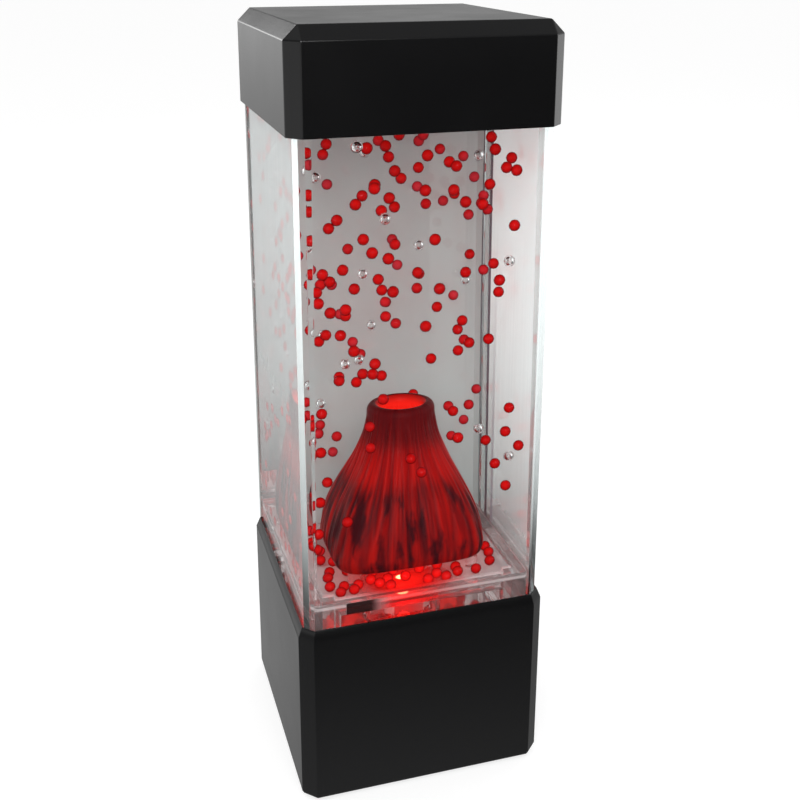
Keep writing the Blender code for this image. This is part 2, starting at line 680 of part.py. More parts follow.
def volcano_radius(height_share, angle):
    """Distance of the volcano's skin from its axis: a rounded square foot that becomes a circle."""
    flank = flank_share(height_share)
    half = CRATER_RADIUS + (VOLCANO_FOOT_HALF - CRATER_RADIUS) * flank
    power = CRATER_SQUARENESS + (FOOT_SQUARENESS - CRATER_SQUARENESS) * flank
    outline = (abs(math.cos(angle)) ** power + abs(math.sin(angle)) ** power) ** (-1 / power)
    swell = FLUTE_START_SHARE + (1 - FLUTE_START_SHARE) * height_share
    fade = math.sin(math.pi * min(1.0, swell))
    flutes = sum(
        depth * math.cos(count * angle + turn)
        for count, depth, turn in zip(FLUTE_COUNTS, FLUTE_DEPTHS, FLUTE_TURNS)
    )
    return half * outline + flutes * fade


def volcano_profile():
    """Share of the flank's height, height and step inwards of each ring, from the foot to the opening."""
    flank_height = VOLCANO_HEIGHT - LIP_RADIUS
    rings = []
    for ring in range(VOLCANO_RINGS + 1):
        share = (1 - math.cos(math.pi * ring / VOLCANO_RINGS)) / 2
        rings.append((share, VOLCANO_Z + share * flank_height, 0))
    for step in range(1, LIP_STEPS + 1):
        turn = math.pi / 2 * step / LIP_STEPS
        height = VOLCANO_Z + flank_height + LIP_RADIUS * math.sin(turn)
        rings.append((1, height, LIP_RADIUS * (1 - math.cos(turn))))
    return rings


def make_volcano():
    """Fluted shell, lofted ring by ring from its foot over the rounded lip to the opening."""
    bm = bmesh.new()
    bmesh.ops.create_circle(bm, segments=VOLCANO_SIDES, radius=CRATER_RADIUS)
    ring_verts = bm.verts[:]
    ring_edges = bm.edges[:]
    profile = volcano_profile()
    for ring, (share, height, inwards) in enumerate(profile, 1):
        for vert in ring_verts:
            angle = math.atan2(vert.co.y, vert.co.x)
            radius = volcano_radius(share, angle) - inwards
            vert.co = (radius * math.cos(angle), radius * math.sin(angle), height)
        if ring < len(profile):
            grown = bmesh.ops.extrude_edge_only(bm, edges=ring_edges)["geom"]
            ring_verts = only(grown, bmesh.types.BMVert)
            kept = set(ring_verts)
            edges = only(grown, bmesh.types.BMEdge)
            ring_edges = [edge for edge in edges if kept.issuperset(edge.verts)]
    bmesh.ops.recalc_face_normals(bm, faces=bm.faces)
    thicken(piece("volcano", bm, RED_SHELL), VOLCANO_WALL)


def make_beads():
    """The beads that lie on the tray. The rest of them float."""
    height = PLATE_TOP + SEAT_GAP + BEAD_RADIUS
    reach = TRAY_INSIDE - BEAD_RADIUS
    for number, (across, back) in enumerate(BEAD_PLACE_SHARES, 1):
        bm = bmesh.new()
        bmesh.ops.create_icosphere(bm, subdivisions=2, radius=BEAD_RADIUS)
        bead = piece(f"bead_{number}", bm, RED_BEAD)
        bead.data.shade_smooth()
        bead.location = (across * reach, back * reach, height)


def boss_places(inset):
    return [(x * (HALF - inset), y * (HALF - inset)) for x, y in FOUR_CORNERS]


def make_base():
    """Open housing: rim round the tank, ledge under it, bosses, board ribs and rear openings."""
    bm = post(HALF, EDGE_CHAMFER, (COVER_Z + TOE_RISE, BASE_HEIGHT - RIM_RISE))
    for top, run, rise in ((True, RIM_RUN, RIM_RISE), (False, TOE_RUN, TOE_RISE)):
        slope = {"thickness": run, "depth": rise, "use_even_offset": True}
        bmesh.ops.inset_region(bm, faces=[end_face(bm, top)], **slope)
    base = piece("base_housing", bm, BLACK_PLASTIC)
    opening = CAVITY_HALF - LEDGE_WIDTH
    cut(
        base,
        post(CAVITY_HALF, CAVITY_CORNER, (COVER_Z - OVERRUN, LEDGE_BOTTOM)),
        post(CAVITY_HALF, CAVITY_CORNER, (LEDGE_TOP, BASE_HEIGHT + OVERRUN)),
        post(opening, CAVITY_CORNER, (LEDGE_BOTTOM - OVERRUN, LEDGE_TOP + OVERRUN)),
    )
    boss_z = COVER_TOP + SEAT_GAP
    for x, y in boss_places(BOSS_INSET):
        join(base, upright_rod(BOSS_RADIUS, (boss_z, boss_z + BOSS_HEIGHT), x, y))
        screw_z = (boss_z - OVERRUN, boss_z + SCREW_LENGTH)
        cut(base, upright_rod(SCREW_RADIUS + SEAT_GAP, screw_z, x, y))
        post_z = (LED_BOARD_Z + BOARD_THICKNESS + SEAT_GAP, LEDGE_BOTTOM + BITE)
        stake_z = (LED_BOARD_Z - BOARD_THICKNESS, post_z[0] + BITE)
        join(base, upright_rod(LED_POST_RADIUS, post_z, x, y))
        join(base, upright_rod(STAKE_RADIUS, stake_z, x, y))

    rib_top = CONTROL_BOARD_Z - SEAT_GAP
    for side in (-1, 1):
        rib_x = around(side * (CONTROL_BOARD_WIDTH / 2 - CONTROL_RIB_WIDTH), CONTROL_RIB_WIDTH)
        rib_y = (CAVITY_HALF - CONTROL_RIB_DEPTH, CAVITY_HALF + BITE)
        join(base, box(rib_x, rib_y, (rib_top - CONTROL_RIB_HEIGHT, rib_top)))

    slot_z, jack_z = control_heights()
    dish_x, dish_z = around(SWITCH_MIDDLE, DISH_WIDTH), around(slot_z, DISH_HEIGHT)
    slot_x = around(SWITCH_MIDDLE, SWITCH_SLOT_WIDTH)
    slot_height = SLIDER_HEIGHT + 2 * SLIDER_SLACK
    inside, outside = CAVITY_HALF - OVERRUN, HALF + OVERRUN
    cut(
        base,
        box(dish_x, (HALF - DISH_DEPTH, outside), dish_z),
        box(slot_x, (inside, HALF), around(slot_z, slot_height)),
        jack_rod(JACK_NOSE_RADIUS + SEAT_GAP, (inside, outside), jack_z),
    )


def make_bottom_cover():
    """Plate that closes the base, with the battery bay, screw holes and pockets for the feet."""
    half = CAVITY_HALF - COVER_GAP
    corner = inset_corner(CAVITY_CORNER, COVER_GAP)
    cover = piece("bottom_cover", post(half, corner, (COVER_Z, COVER_TOP)), BLACK_PLASTIC)
    bay_x, bay_y = BAY_HALF_LENGTH, BAY_HALF_WIDTH
    outer_x, outer_y = bay_x + BAY_WALL, bay_y + BAY_WALL
    screw_x = -(bay_x + DOOR_EAR - SCREW_HEAD_RADIUS - SEAT_GAP)
    boss_z = (COVER_TOP - BITE, COVER_TOP + DOOR_BOSS_HEIGHT)
    join(
        cover,
        box((-outer_x, outer_x), (-outer_y, outer_y), (COVER_TOP - BITE, BAY_TOP)),
        upright_rod(BOSS_RADIUS - SCREW_RADIUS, boss_z, screw_x),
    )
    cut(cover, box((-bay_x, bay_x), (-bay_y, bay_y), (COVER_Z - OVERRUN, BAY_CEILING)))
    rebate_x = (-(bay_x + DOOR_EAR + SEAT_GAP), bay_x + DOOR_LAP + SEAT_GAP)
    rebate_y = bay_y + DOOR_LAP + SEAT_GAP
    rebate_z = (COVER_Z - OVERRUN, COVER_Z + DOOR_THICKNESS + SEAT_GAP)
    cut(cover, box(rebate_x, (-rebate_y, rebate_y), rebate_z))
    screw_hole = (COVER_Z - OVERRUN, boss_z[1] - BITE)
    cut(cover, upright_rod(SCREW_RADIUS + SEAT_GAP, screw_hole, screw_x))
    for gap in range(1, CELL_COUNT):
        rib_y = around(-bay_y + gap * CELL_PITCH, BAY_RIB_WIDTH)
        rib_x = bay_x - CELL_NUB_LENGTH - SPRING_LENGTH
        join(cover, box((-rib_x, rib_x), rib_y, (BAY_CEILING - BAY_RIB_HEIGHT, BAY_CEILING + BITE)))
    for x in (-BRACKET_STAKE_X, BRACKET_STAKE_X):
        stake_z = (BAY_TOP - BITE, BRACKET_Z + BRACKET_PLATE + STAKE_RADIUS)
        join(cover, upright_rod(STAKE_RADIUS, stake_z, x))
    for x, y in boss_places(BOSS_INSET):
        hole = (COVER_Z - OVERRUN, COVER_TOP + OVERRUN)
        bore = (COVER_Z - OVERRUN, COVER_Z + COUNTERBORE_DEPTH)
        cut(cover, upright_rod(SCREW_RADIUS + SEAT_GAP, hole, x, y))
        cut(cover, upright_rod(SCREW_HEAD_RADIUS + SEAT_GAP, bore, x, y))
    for x, y in boss_places(FOOT_INSET):
        pocket = (COVER_Z - OVERRUN, FOOT_HEIGHT + SEAT_GAP)
        cut(cover, upright_rod(FOOT_RADIUS + SEAT_GAP, pocket, x, y))
    for x, y in lead_holes():
        hole = (BAY_CEILING - OVERRUN, BAY_TOP + OVERRUN)
        cut(cover, upright_rod(LEAD_RADIUS + LEAD_HOLE_GAP, hole, x, y))
    return screw_x


def make_screw(name, x, y, bearing_z):
    """Pan head screw that points up. The head's flat side is at bearing_z."""
    head_edge = SCREW_HEAD_HEIGHT / 3
    profile = (
        (0, SCREW_LENGTH),
        (SCREW_RADIUS / 2, SCREW_LENGTH),
        (SCREW_RADIUS, SCREW_LENGTH - SCREW_RADIUS),
        (SCREW_RADIUS, 0),
        (SCREW_HEAD_RADIUS, 0),
        (SCREW_HEAD_RADIUS, head_edge - SCREW_HEAD_HEIGHT),
        (SCREW_HEAD_RADIUS - head_edge, -SCREW_HEAD_HEIGHT),
        (0, -SCREW_HEAD_HEIGHT),
    )
    return turned(name, profile, STEEL, SMALL_ROUND_SIDES, (x, y, bearing_z))


def make_feet_and_screws():
    for number, (x, y) in enumerate(boss_places(FOOT_INSET), 1):
        profile = (
            (0, FOOT_HEIGHT),
            (FOOT_RADIUS, FOOT_HEIGHT),
            (FOOT_RADIUS, FOOT_SHOWING / 2),
            (FOOT_RADIUS - FOOT_SHOWING / 2, 0),
            (0, 0),
        )
        turned(f"foot_{number}", profile, RUBBER, location=(x, y, 0))
    for number, (x, y) in enumerate(boss_places(BOSS_INSET), 1):
        make_screw(f"cover_screw_{number}", x, y, COVER_Z + COUNTERBORE_DEPTH - SEAT_GAP)


def make_battery_door(screw_x):
    """Flush door in the cover's rebate, with ribs under the cells and one screw."""
    top = COVER_Z + DOOR_THICKNESS
    door_x = (-(BAY_HALF_LENGTH + DOOR_EAR), BAY_HALF_LENGTH + DOOR_LAP)
    door_y = BAY_HALF_WIDTH + DOOR_LAP
    door = piece("battery_door", box(door_x, (-door_y, door_y), (COVER_Z, top)), BLACK_PLASTIC)
    plug_x, plug_y = BAY_HALF_LENGTH - SEAT_GAP, BAY_HALF_WIDTH - SEAT_GAP
    inner_x, inner_y = plug_x - BAY_WALL, plug_y - BAY_WALL
    join(door, box((-plug_x, plug_x), (-plug_y, plug_y), (top - BITE, COVER_TOP - BITE)))
    cut(door, box((-inner_x, inner_x), (-inner_y, inner_y), (top, COVER_TOP + OVERRUN)))
    for index in range(DOOR_RIB_COUNT):
        rib_x = around(plug_x * (2 * (index + 1) / (DOOR_RIB_COUNT + 1) - 1), DOOR_RIB_WIDTH)
        join(door, box(rib_x, (-plug_y, plug_y), (top - BITE, COVER_TOP)))
    bearing = COVER_Z + SCREW_HEAD_HEIGHT + SEAT_GAP
    head_pocket = (COVER_Z - OVERRUN, bearing)
    cut(door, upright_rod(SCREW_RADIUS + SEAT_GAP, (COVER_Z - OVERRUN, top + OVERRUN), screw_x))
    cut(door, upright_rod(SCREW_HEAD_RADIUS + SEAT_GAP, head_pocket, screw_x))
    screw = make_screw("battery_door_screw", screw_x, 0, bearing - SEAT_GAP)
    ride(carrier("door_drop", (screw_x, 0, COVER_Z)), door, screw)


def cell_rows():
    """Each cell's number, its Y, and the side that its plus end points to."""
    middle = (CELL_COUNT + 1) / 2
    return [(n, (n - middle) * CELL_PITCH, 1 if n % 2 else -1) for n in range(1, CELL_COUNT + 1)]


def make_cells():
    """Three cells in series, with their springs."""
    half = CELL_LENGTH / 2
    profile = (
        (0, half + CELL_NUB_LENGTH),
        (CELL_NUB_RADIUS, half + CELL_NUB_LENGTH),
        (CELL_NUB_RADIUS, half),
        (CELL_RADIUS - CELL_NUB_LENGTH / 2, half),
        (CELL_RADIUS, half - CELL_NUB_LENGTH / 2),
        (CELL_RADIUS, -half),
        (0, -half),
    )
    stack_end = BAY_HALF_LENGTH - CONTACT_ROOM
    middle = stack_end - CELL_NUB_LENGTH - half
    for number, y, side in cell_rows():
        rotation = (0, side * math.pi / 2, 0)
        place = (side * middle, y, CELL_Z)
        turned(f"battery_{number}", profile, CELL_SLEEVE, location=place, rotation=rotation)
        points = []
        steps = SPRING_TURNS * POINTS_PER_TURN
        for step in range(steps + 1):
            share = step / steps
            radius = SPRING_WIDE_RADIUS + (SPRING_NARROW_RADIUS - SPRING_WIDE_RADIUS) * share
            angle = math.tau * SPRING_TURNS * share
            along = stack_end - SPRING_WIRE_RADIUS - share * (SPRING_LENGTH - 2 * SPRING_WIRE_RADIUS)
            across, rise = radius * math.cos(angle), radius * math.sin(angle)
            points.append((-side * along, y + across, CELL_Z + rise))
        tube(f"battery_spring_{number}", points, SPRING_WIRE_RADIUS, SPRING_STEEL, 1)
    print(f"least gap between a battery spring's turns: {spring_gap(points) * 1000:.2f} mm")


def spring_gap(points):
    """Least distance between the wire's own surfaces, one turn apart."""
    nearest = min(
        (Vector(a) - Vector(b)).length
        for i, a in enumerate(points)
        for b in points[i + POINTS_PER_TURN // 2 + 1 :]
    )
    return nearest - 2 * SPRING_WIRE_RADIUS


def contact_plate(name, side, rows):
    """Flat spring-steel contact at one end of the bay, across one or two cells."""
    outer = BAY_HALF_LENGTH - SEAT_GAP
    x = sorted((side * outer, side * (outer - CONTACT_THICKNESS)))
    y = (rows[0] - CONTACT_WIDTH / 2, rows[-1] + CONTACT_WIDTH / 2)
    piece(name, box(x, y, around(CELL_Z, CONTACT_HEIGHT)), SPRING_STEEL)


def make_contacts():
    rows = [y for number, y, side in cell_rows()]
    contact_plate("contact_tab_left", -1, rows[:1])
    contact_plate("contact_bridge_left", -1, rows[1:])
    contact_plate("contact_bridge_right", 1, rows[:-1])
    contact_plate("contact_tab_right", 1, rows[-1:])


def flatted(radius, z):
    """Round bar with two flats, the section of a small motor."""
    bm = upright_rod(radius, z)
    for side in (-1, 1):
        geometry = bm.verts[:] + bm.edges[:] + bm.faces[:]
        plane = (0, side * MOTOR_FLAT_WIDTH / 2, 0)
        made = bmesh.ops.bisect_plane(
            bm, geom=geometry, plane_co=plane, plane_no=(0, side, 0), clear_outer=True
        )
        bmesh.ops.contextual_create(bm, geom=only(made["geom_cut"], bmesh.types.BMEdge))
    return bm


def make_motor():
    """Small can motor in a collar on the battery bay. Its shaft carries the magnet disc."""
    can = piece("motor_can", flatted(MOTOR_RADIUS, (CAN_Z, CAN_TOP)), STEEL)
    nose_top = CAN_TOP + MOTOR_NOSE_HEIGHT
    join(can, upright_rod(MOTOR_NOSE_RADIUS, (CAN_TOP - BITE, nose_top)))
    bore = SHAFT_RADIUS + RUNNING_GAP
    cut(can, upright_rod(bore, (CAN_Z - OVERRUN, nose_top + OVERRUN)))
    cap_top = MOTOR_CAP_Z + MOTOR_CAP_HEIGHT
    end_cap = piece("motor_end_cap", flatted(MOTOR_RADIUS, (MOTOR_CAP_Z, cap_top)), WHITE_PLASTIC)
    cut(end_cap, upright_rod(bore, (cap_top - MOTOR_CAP_HEIGHT / 2, cap_top + OVERRUN)))

    shaft_z = (cap_top - MOTOR_CAP_HEIGHT / 2 + SEAT_GAP, DISC_Z + DISC_HEIGHT / 2)
    shaft = piece("motor_shaft", upright_rod(SHAFT_RADIUS, shaft_z), STEEL)
    disc = piece("drive_disc", upright_rod(DISC_RADIUS, (DISC_Z, DISC_TOP)), WHITE_PLASTIC)
    join(disc, upright_rod(HUB_RADIUS, (DISC_Z - DISC_HUB_HEIGHT, DISC_Z + BITE)))
    bore_z = (DISC_Z - DISC_HUB_HEIGHT - OVERRUN, shaft_z[1] + SEAT_GAP)
    cut(disc, upright_rod(SHAFT_RADIUS + SEAT_GAP, bore_z))
    moving = [shaft, disc]
    for number, x in magnet_places():
        magnet_z = (DISC_TOP - MAGNET_HEIGHT, DISC_TOP)
        pocket_z = (magnet_z[0] - SEAT_GAP, DISC_TOP + OVERRUN)
        cut(disc, upright_rod(MAGNET_RADIUS + SEAT_GAP, pocket_z, x))
        magnet = upright_rod(MAGNET_RADIUS, magnet_z, x)
        moving.append(piece(f"drive_magnet_{number}", magnet, MAGNET))
    ride(carrier("motor_spin", (0, 0, shaft_z[0])), *moving)

    plate_top = BRACKET_Z + BRACKET_PLATE
    plate = box((-BRACKET_END, BRACKET_END), around(0, BRACKET_DEPTH), (BRACKET_Z, plate_top))
    bracket = piece("motor_bracket", plate, WHITE_PLASTIC)
    join(bracket, upright_rod(COLLAR_RADIUS, (plate_top - BITE, COLLAR_TOP)))
    notch_top = cap_top + SEAT_GAP
    cut(
        bracket,
        upright_rod(COLLAR_INSIDE, (plate_top, COLLAR_TOP + OVERRUN)),
        box(around(0, TERMINAL_NOTCH), (0, COLLAR_RADIUS + OVERRUN), (plate_top, notch_top)),
        *[
            upright_rod(STAKE_HOLE_RADIUS, (BRACKET_Z - OVERRUN, plate_top + OVERRUN), x)
            for x in (-BRACKET_STAKE_X, BRACKET_STAKE_X)
        ],
    )


def make_lights():
    """Ring board on four stakes under the ledge, and red LEDs that shine up into the tank."""
    board_z = (LED_BOARD_Z, LED_BOARD_Z + BOARD_THICKNESS)
    through = (board_z[0] - OVERRUN, board_z[1] + OVERRUN)
    corner = inset_corner(CAVITY_CORNER, LED_BOARD_GAP)
    board = piece("led_board", post(CAVITY_HALF - LED_BOARD_GAP, corner, board_z), GREEN_BOARD)
    cut(board, upright_rod(LED_BOARD_HOLE_RADIUS, through))
    for x, y in boss_places(BOSS_INSET):
        cut(board, upright_rod(STAKE_HOLE_RADIUS, through, x, y))
    dome_z = LED_FLANGE_HEIGHT + LED_BODY_HEIGHT
    angles = [math.pi / 2 * step / LED_DOME_STEPS for step in range(LED_DOME_STEPS + 1)]
    profile = [(LED_RADIUS * math.sin(a), dome_z + LED_RADIUS * math.cos(a)) for a in angles]
    profile += [
        (LED_RADIUS, LED_FLANGE_HEIGHT),
        (LED_FLANGE_RADIUS, LED_FLANGE_HEIGHT),
        (LED_FLANGE_RADIUS, 0),
        (0, 0),
    ]
    for index in range(LED_COUNT):
        angle = LED_FIRST_ANGLE + index * math.tau / LED_COUNT
        place = (LED_ORBIT * math.cos(angle), LED_ORBIT * math.sin(angle), LED_Z)
        turned(f"led_{index + 1}", profile, RED_LENS, SMALL_ROUND_SIDES, place)


def jack_rod(radius, y, z):
    """Round bar on the power inlet's axis, which runs from front to back."""
    return rod(radius, (JACK_X, y[0], z), (JACK_X, y[1], z))


def control_heights():
    """Heights of the switch's slider and of the jack."""
    on_board = CONTROL_BOARD_TOP + SEAT_GAP
    return on_board + SWITCH_HEIGHT / 2, on_board + JACK_HEIGHT / 2


def make_controls():
    """Board on two ribs behind the rear wall, with the slide switch and the power inlet."""
    back = CAVITY_HALF - CONTROL_BOARD_WALL_GAP
    board_y, board_z = (back - CONTROL_BOARD_DEPTH, back), (CONTROL_BOARD_Z, CONTROL_BOARD_TOP)
    piece("control_board", box(around(0, CONTROL_BOARD_WIDTH), board_y, board_z), GREEN_BOARD)

    on_board = CONTROL_BOARD_TOP + SEAT_GAP
    slider_z, jack_z = control_heights()
    wall = CAVITY_HALF - SEAT_GAP
    outer_end = HALF - CONTROL_RECESS
    body_x, body_z = around(SWITCH_MIDDLE, SWITCH_WIDTH), (on_board, on_board + SWITCH_HEIGHT)
    switch = piece("switch_body", box(body_x, (wall - SWITCH_DEPTH, wall), body_z), STEEL)
    slot_x = around(SWITCH_MIDDLE, SWITCH_SLOT_WIDTH)
    slot_y = (wall - SLIDER_REACH - SEAT_GAP, wall + OVERRUN)
    cut(switch, box(slot_x, slot_y, around(slider_z, SLIDER_HEIGHT + 2 * SEAT_GAP)))
    knob_y, knob_z = (wall - SLIDER_REACH, outer_end), around(slider_z, SLIDER_HEIGHT)
    slider = piece("switch_slider", box(around(SWITCH_X, SLIDER_WIDTH), knob_y, knob_z), BLACK_PLASTIC)
    ride(carrier("switch_slide", (SWITCH_X, wall, slider_z)), slider)

    shell_x, shell_z = around(JACK_X, JACK_WIDTH), (on_board, on_board + JACK_HEIGHT)
    jack = piece("dc_jack", box(shell_x, (wall - JACK_DEPTH, wall), shell_z), BLACK_PLASTIC)
    bore_end = outer_end - JACK_BORE_DEPTH
    pin_end = outer_end - JACK_NOSE_RADIUS / 2
    join(jack, jack_rod(JACK_NOSE_RADIUS, (wall - BITE, outer_end), jack_z))
    cut(jack, jack_rod(JACK_BORE_RADIUS, (bore_end, outer_end + OVERRUN), jack_z))
    join(jack, jack_rod(JACK_PIN_RADIUS, (bore_end - BITE, pin_end), jack_z))


def lead_path(start, leave, end, arrive):
    """Smooth run between two points, straight for a little at each."""
    start, end = Vector(start), Vector(end)
    first = start + Vector(leave) * LEAD_STRAIGHT
    last = end - Vector(arrive) * LEAD_STRAIGHT
    pull = (last - first).length * LEAD_BEND_SHARE
    near, far = first + Vector(leave) * pull, last - Vector(arrive) * pull
    points = [start]
    points += interpolate_bezier(first, near, far, last, LEAD_STEPS + 1)
    points.append(end)
    return points


def lead_holes():
    """Where the battery leads pass through the bay's roof, over the two end tabs."""
    rows = cell_rows()
    x = BAY_HALF_LENGTH - SEAT_GAP - LEAD_RADIUS
    return [(-x, rows[0][1]), (x, rows[-1][1])]


def make_leads():
    """Leads from the control board to the motor, the cells and the ring board."""
    board_y = CAVITY_HALF - CONTROL_BOARD_WALL_GAP - CONTROL_BOARD_DEPTH
    under_board = CONTROL_BOARD_Z - SEAT_GAP
    landing_y = board_y + LEAD_STRAIGHT
    up, back = (0, 0, 1), (0, 1, 0)
    terminal = (0, MOTOR_FLAT_WIDTH / 2 + SEAT_GAP, MOTOR_CAP_Z + MOTOR_CAP_HEIGHT / 2)
    motor_run = lead_path(terminal, back, (0, landing_y, under_board), up)
    tube("motor_lead", motor_run, LEAD_RADIUS, RED_SLEEVE)

    tab_top = CELL_Z + CONTACT_HEIGHT / 2 + SEAT_GAP
    names = ("battery_lead_minus", "battery_lead_plus")
    for name, (x, y), sleeve in zip(names, lead_holes(), (BLACK_SLEEVE, RED_SLEEVE)):
        inset = CONTROL_BOARD_WIDTH / 2 - 3 * CONTROL_RIB_WIDTH
        landing = (math.copysign(inset, x), landing_y, under_board)
        over_roof = lead_path((x, y, BAY_TOP), up, landing, up)
        tube(name, [Vector((x, y, tab_top))] + over_roof, LEAD_RADIUS, sleeve)

    on_board = (0, landing_y, CONTROL_BOARD_TOP + SEAT_GAP)
    ring_side = (0, LED_BOARD_HOLE_RADIUS + LEAD_STRAIGHT, LED_BOARD_Z - SEAT_GAP)
    tube("led_lead", lead_path(on_board, up, ring_side, up), LEAD_RADIUS, RED_SLEEVE)


make_cap()
make_tank()
make_grille(make_impeller())
make_tray()
make_volcano()
make_beads()
make_base()
make_battery_door(make_bottom_cover())
make_feet_and_screws()
make_cells()
make_contacts()
make_motor()
make_lights()
make_controls()
make_leads()
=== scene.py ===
"""Volcano motion lamp: the visible surfaces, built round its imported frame.

A clear tank of water stands between a black base and a black cap. Red lights in the base shine
up through the tray and the volcano, and a jet carries red and clear beads up through the water.
Everything is in metres, with the origin on the ground under the lamp's middle and Z up.
"""

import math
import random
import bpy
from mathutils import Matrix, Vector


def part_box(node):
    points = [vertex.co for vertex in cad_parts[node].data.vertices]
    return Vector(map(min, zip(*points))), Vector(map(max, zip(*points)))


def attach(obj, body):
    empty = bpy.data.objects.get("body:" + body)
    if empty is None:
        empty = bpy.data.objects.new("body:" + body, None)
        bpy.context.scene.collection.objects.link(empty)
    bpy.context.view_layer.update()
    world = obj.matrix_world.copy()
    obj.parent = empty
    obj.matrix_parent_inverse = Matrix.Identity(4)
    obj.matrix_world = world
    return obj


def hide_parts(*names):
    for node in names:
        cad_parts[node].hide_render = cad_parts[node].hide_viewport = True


bl_info = {
    "name": "Volcano Motion Lamp",
    "version": (1, 0, 0),
    "blender": (4, 5, 0),
    "location": "View3D > Sidebar > Motion Lamp",
    "description": "Builds the mouldings, tank, volcano and beads of a volcano motion lamp",
    "category": "Add Mesh",
}

import bmesh
import bpy
from bpy.props import FloatProperty, FloatVectorProperty, IntProperty, PointerProperty
from bpy.types import Operator, Panel, PropertyGroup
from mathutils import Vector

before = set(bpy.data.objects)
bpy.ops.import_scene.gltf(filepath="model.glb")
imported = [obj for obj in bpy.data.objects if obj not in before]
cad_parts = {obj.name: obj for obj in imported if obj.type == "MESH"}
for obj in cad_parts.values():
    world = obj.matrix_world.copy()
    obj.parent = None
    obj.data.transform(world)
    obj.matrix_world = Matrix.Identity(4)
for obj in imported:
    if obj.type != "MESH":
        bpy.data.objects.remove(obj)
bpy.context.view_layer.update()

# Places that follow the frame
TANK_LOW, TANK_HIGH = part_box("tank")
TRAY_LOW, TRAY_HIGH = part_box("tray")
TRAY_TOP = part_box("jet_grille")[1].z
VOLCANO_LOW, VOLCANO_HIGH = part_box("volcano")
VOLCANO_HEIGHT = VOLCANO_HIGH.z - VOLCANO_LOW.z
LED_LOW, LED_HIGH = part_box("led_1")
FRONT_LED = (LED_LOW + LED_HIGH) / 2
BASE_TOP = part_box("base_housing")[1].z
CAP_FOOT, LAMP_HEIGHT = (corner.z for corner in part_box("cap"))

# Sizes of the tank and tray that aren't the limits of a node
TANK_WALL = 0.003
RAIL_WIDTH = 0.005
CORNER_BLOCK = 0.0095
POST_PLACE = 0.0246  # of the four posts under the volcano, along X and along Y
POST_RADIUS = 0.0025
WATER_HALF = TANK_HIGH.x - TANK_WALL
TRAY_INSIDE = TRAY_HIGH.x - RAIL_WIDTH
BLOCK_INSIDE = TRAY_HIGH.x - CORNER_BLOCK
MERGE_DISTANCE = 0.00001  # points of one mesh that lie closer than this are one
ON_FACE = 0.0003  # how far from a face a point may lie and still count as on it

# Shares of the volcano's grid: up the outside, over the lip, down the inside and out to the foot
OUTSIDE_SPAN = (0.0, 0.62)
LIP_SPAN = (0.62, 0.72)
INSIDE_SPAN = (0.72, 0.99)
CLOSING_SPAN = (0.992, 0.998)
FLANK_BEND = 1.1  # over 1, the flank stays wide for longer before it runs in to the crater

# Room for the beads
WATER_TOP = CAP_FOOT + 0.012  # the water's surface, which the cap hides
BEAD_GAP = 0.0003  # least space between a bead and what is beside it
FLANK_GAP = 0.0045  # least space between a bead's middle and the volcano's corners
CRATER_GAP = 0.006  # beads may be right over the volcano from this far above its rim
JET_START = 0.002  # lowest rising bead, over the crater's rim
JET_HALF = 0.019  # half width of the jet of beads there
JET_GROWTH = 0.09  # how much wider each half would be at the surface, if the tank left it room
FALL_END = 0.004  # lowest falling bead, over the volcano's foot
CLEAR_START = 0.02  # lowest clear bead, over the volcano's foot
TRIES = 60  # places tried for each bead

# Where painted shade marks the front water slot, and where the front light's painted bright spot lies
SLOT_LEFT, SLOT_RIGHT = -0.0310, -0.0125
SLOT_FOOT, SLOT_TOP = 0.0795, 0.0848
SLOT_FADE = 0.009  # where the front light's painted red glow runs into it
PAINTED_SPOT_BACK = 0.005  # how far behind the front light its painted bright spot lies on the tray
BLUR = 0.0003  # width over which a painted edge turns from one colour to the other

# How light bends: each value is the inside's index over the outside's
ACRYLIC_IN_AIR = 1.49
ACRYLIC_IN_WATER = 1.49 / 1.333
RESIN_IN_WATER = 1.25

# Faces of acrylic and resin that one line of sight may cross on its way through the tank and back
WALLS_SEEN_THROUGH = 24

# Colours that come up more than once
WHITE = (1.0, 1.0, 1.0)
BLACK = (0.0, 0.0, 0.0)
WALL_TINT = (0.91, 0.975, 0.97)
TRAY_TINT = (0.88, 0.79, 0.79)
BEAD_TINT = (0.98, 0.98, 0.98)
CLEAR_SHADOW = (0.97, 0.97, 0.97)
# LED_RED is the colour of the painted glow that stands in for the front LED's light
LED_RED = (1.0, 0.012, 0.006)
SLEEVE_GREY = (0.03, 0.03, 0.035)
FLOOR_GREY = (0.46, 0.46, 0.46)

# The camera that took the photograph, worked out from the lamp's straight edges
PHOTO_WIDTH = 800  # pixels, square
PHOTO_FOCAL = 1132.7  # pixels
PHOTO_CENTRE = (390.4, 275.9)  # pixels, where the optical axis meets the picture
CAMERA_TURN = math.radians(-16.57)
CAMERA_RISE = math.radians(16.88)
CAMERA_DISTANCE = 0.4496
CAMERA_TARGET = Vector((0.0, 0.0, 0.1999))
SENSOR_WIDTH = 36.0  # millimetres


class PlasticSettings(PropertyGroup):
    """Black mouldings of cap, base and cover."""

    colour: FloatVectorProperty(
        name="Colour", description="Colour of the black mouldings",
        subtype="COLOR", default=(0.0022, 0.0022, 0.0025),
    )
    roughness: FloatProperty(
        name="Roughness", description="Roughness of the mouldings", subtype="FACTOR", default=0.20
    )
    edge: FloatProperty(
        name="Edge Radius", description="Rounding of the moulded edges",
        subtype="DISTANCE", default=0.0004,
    )


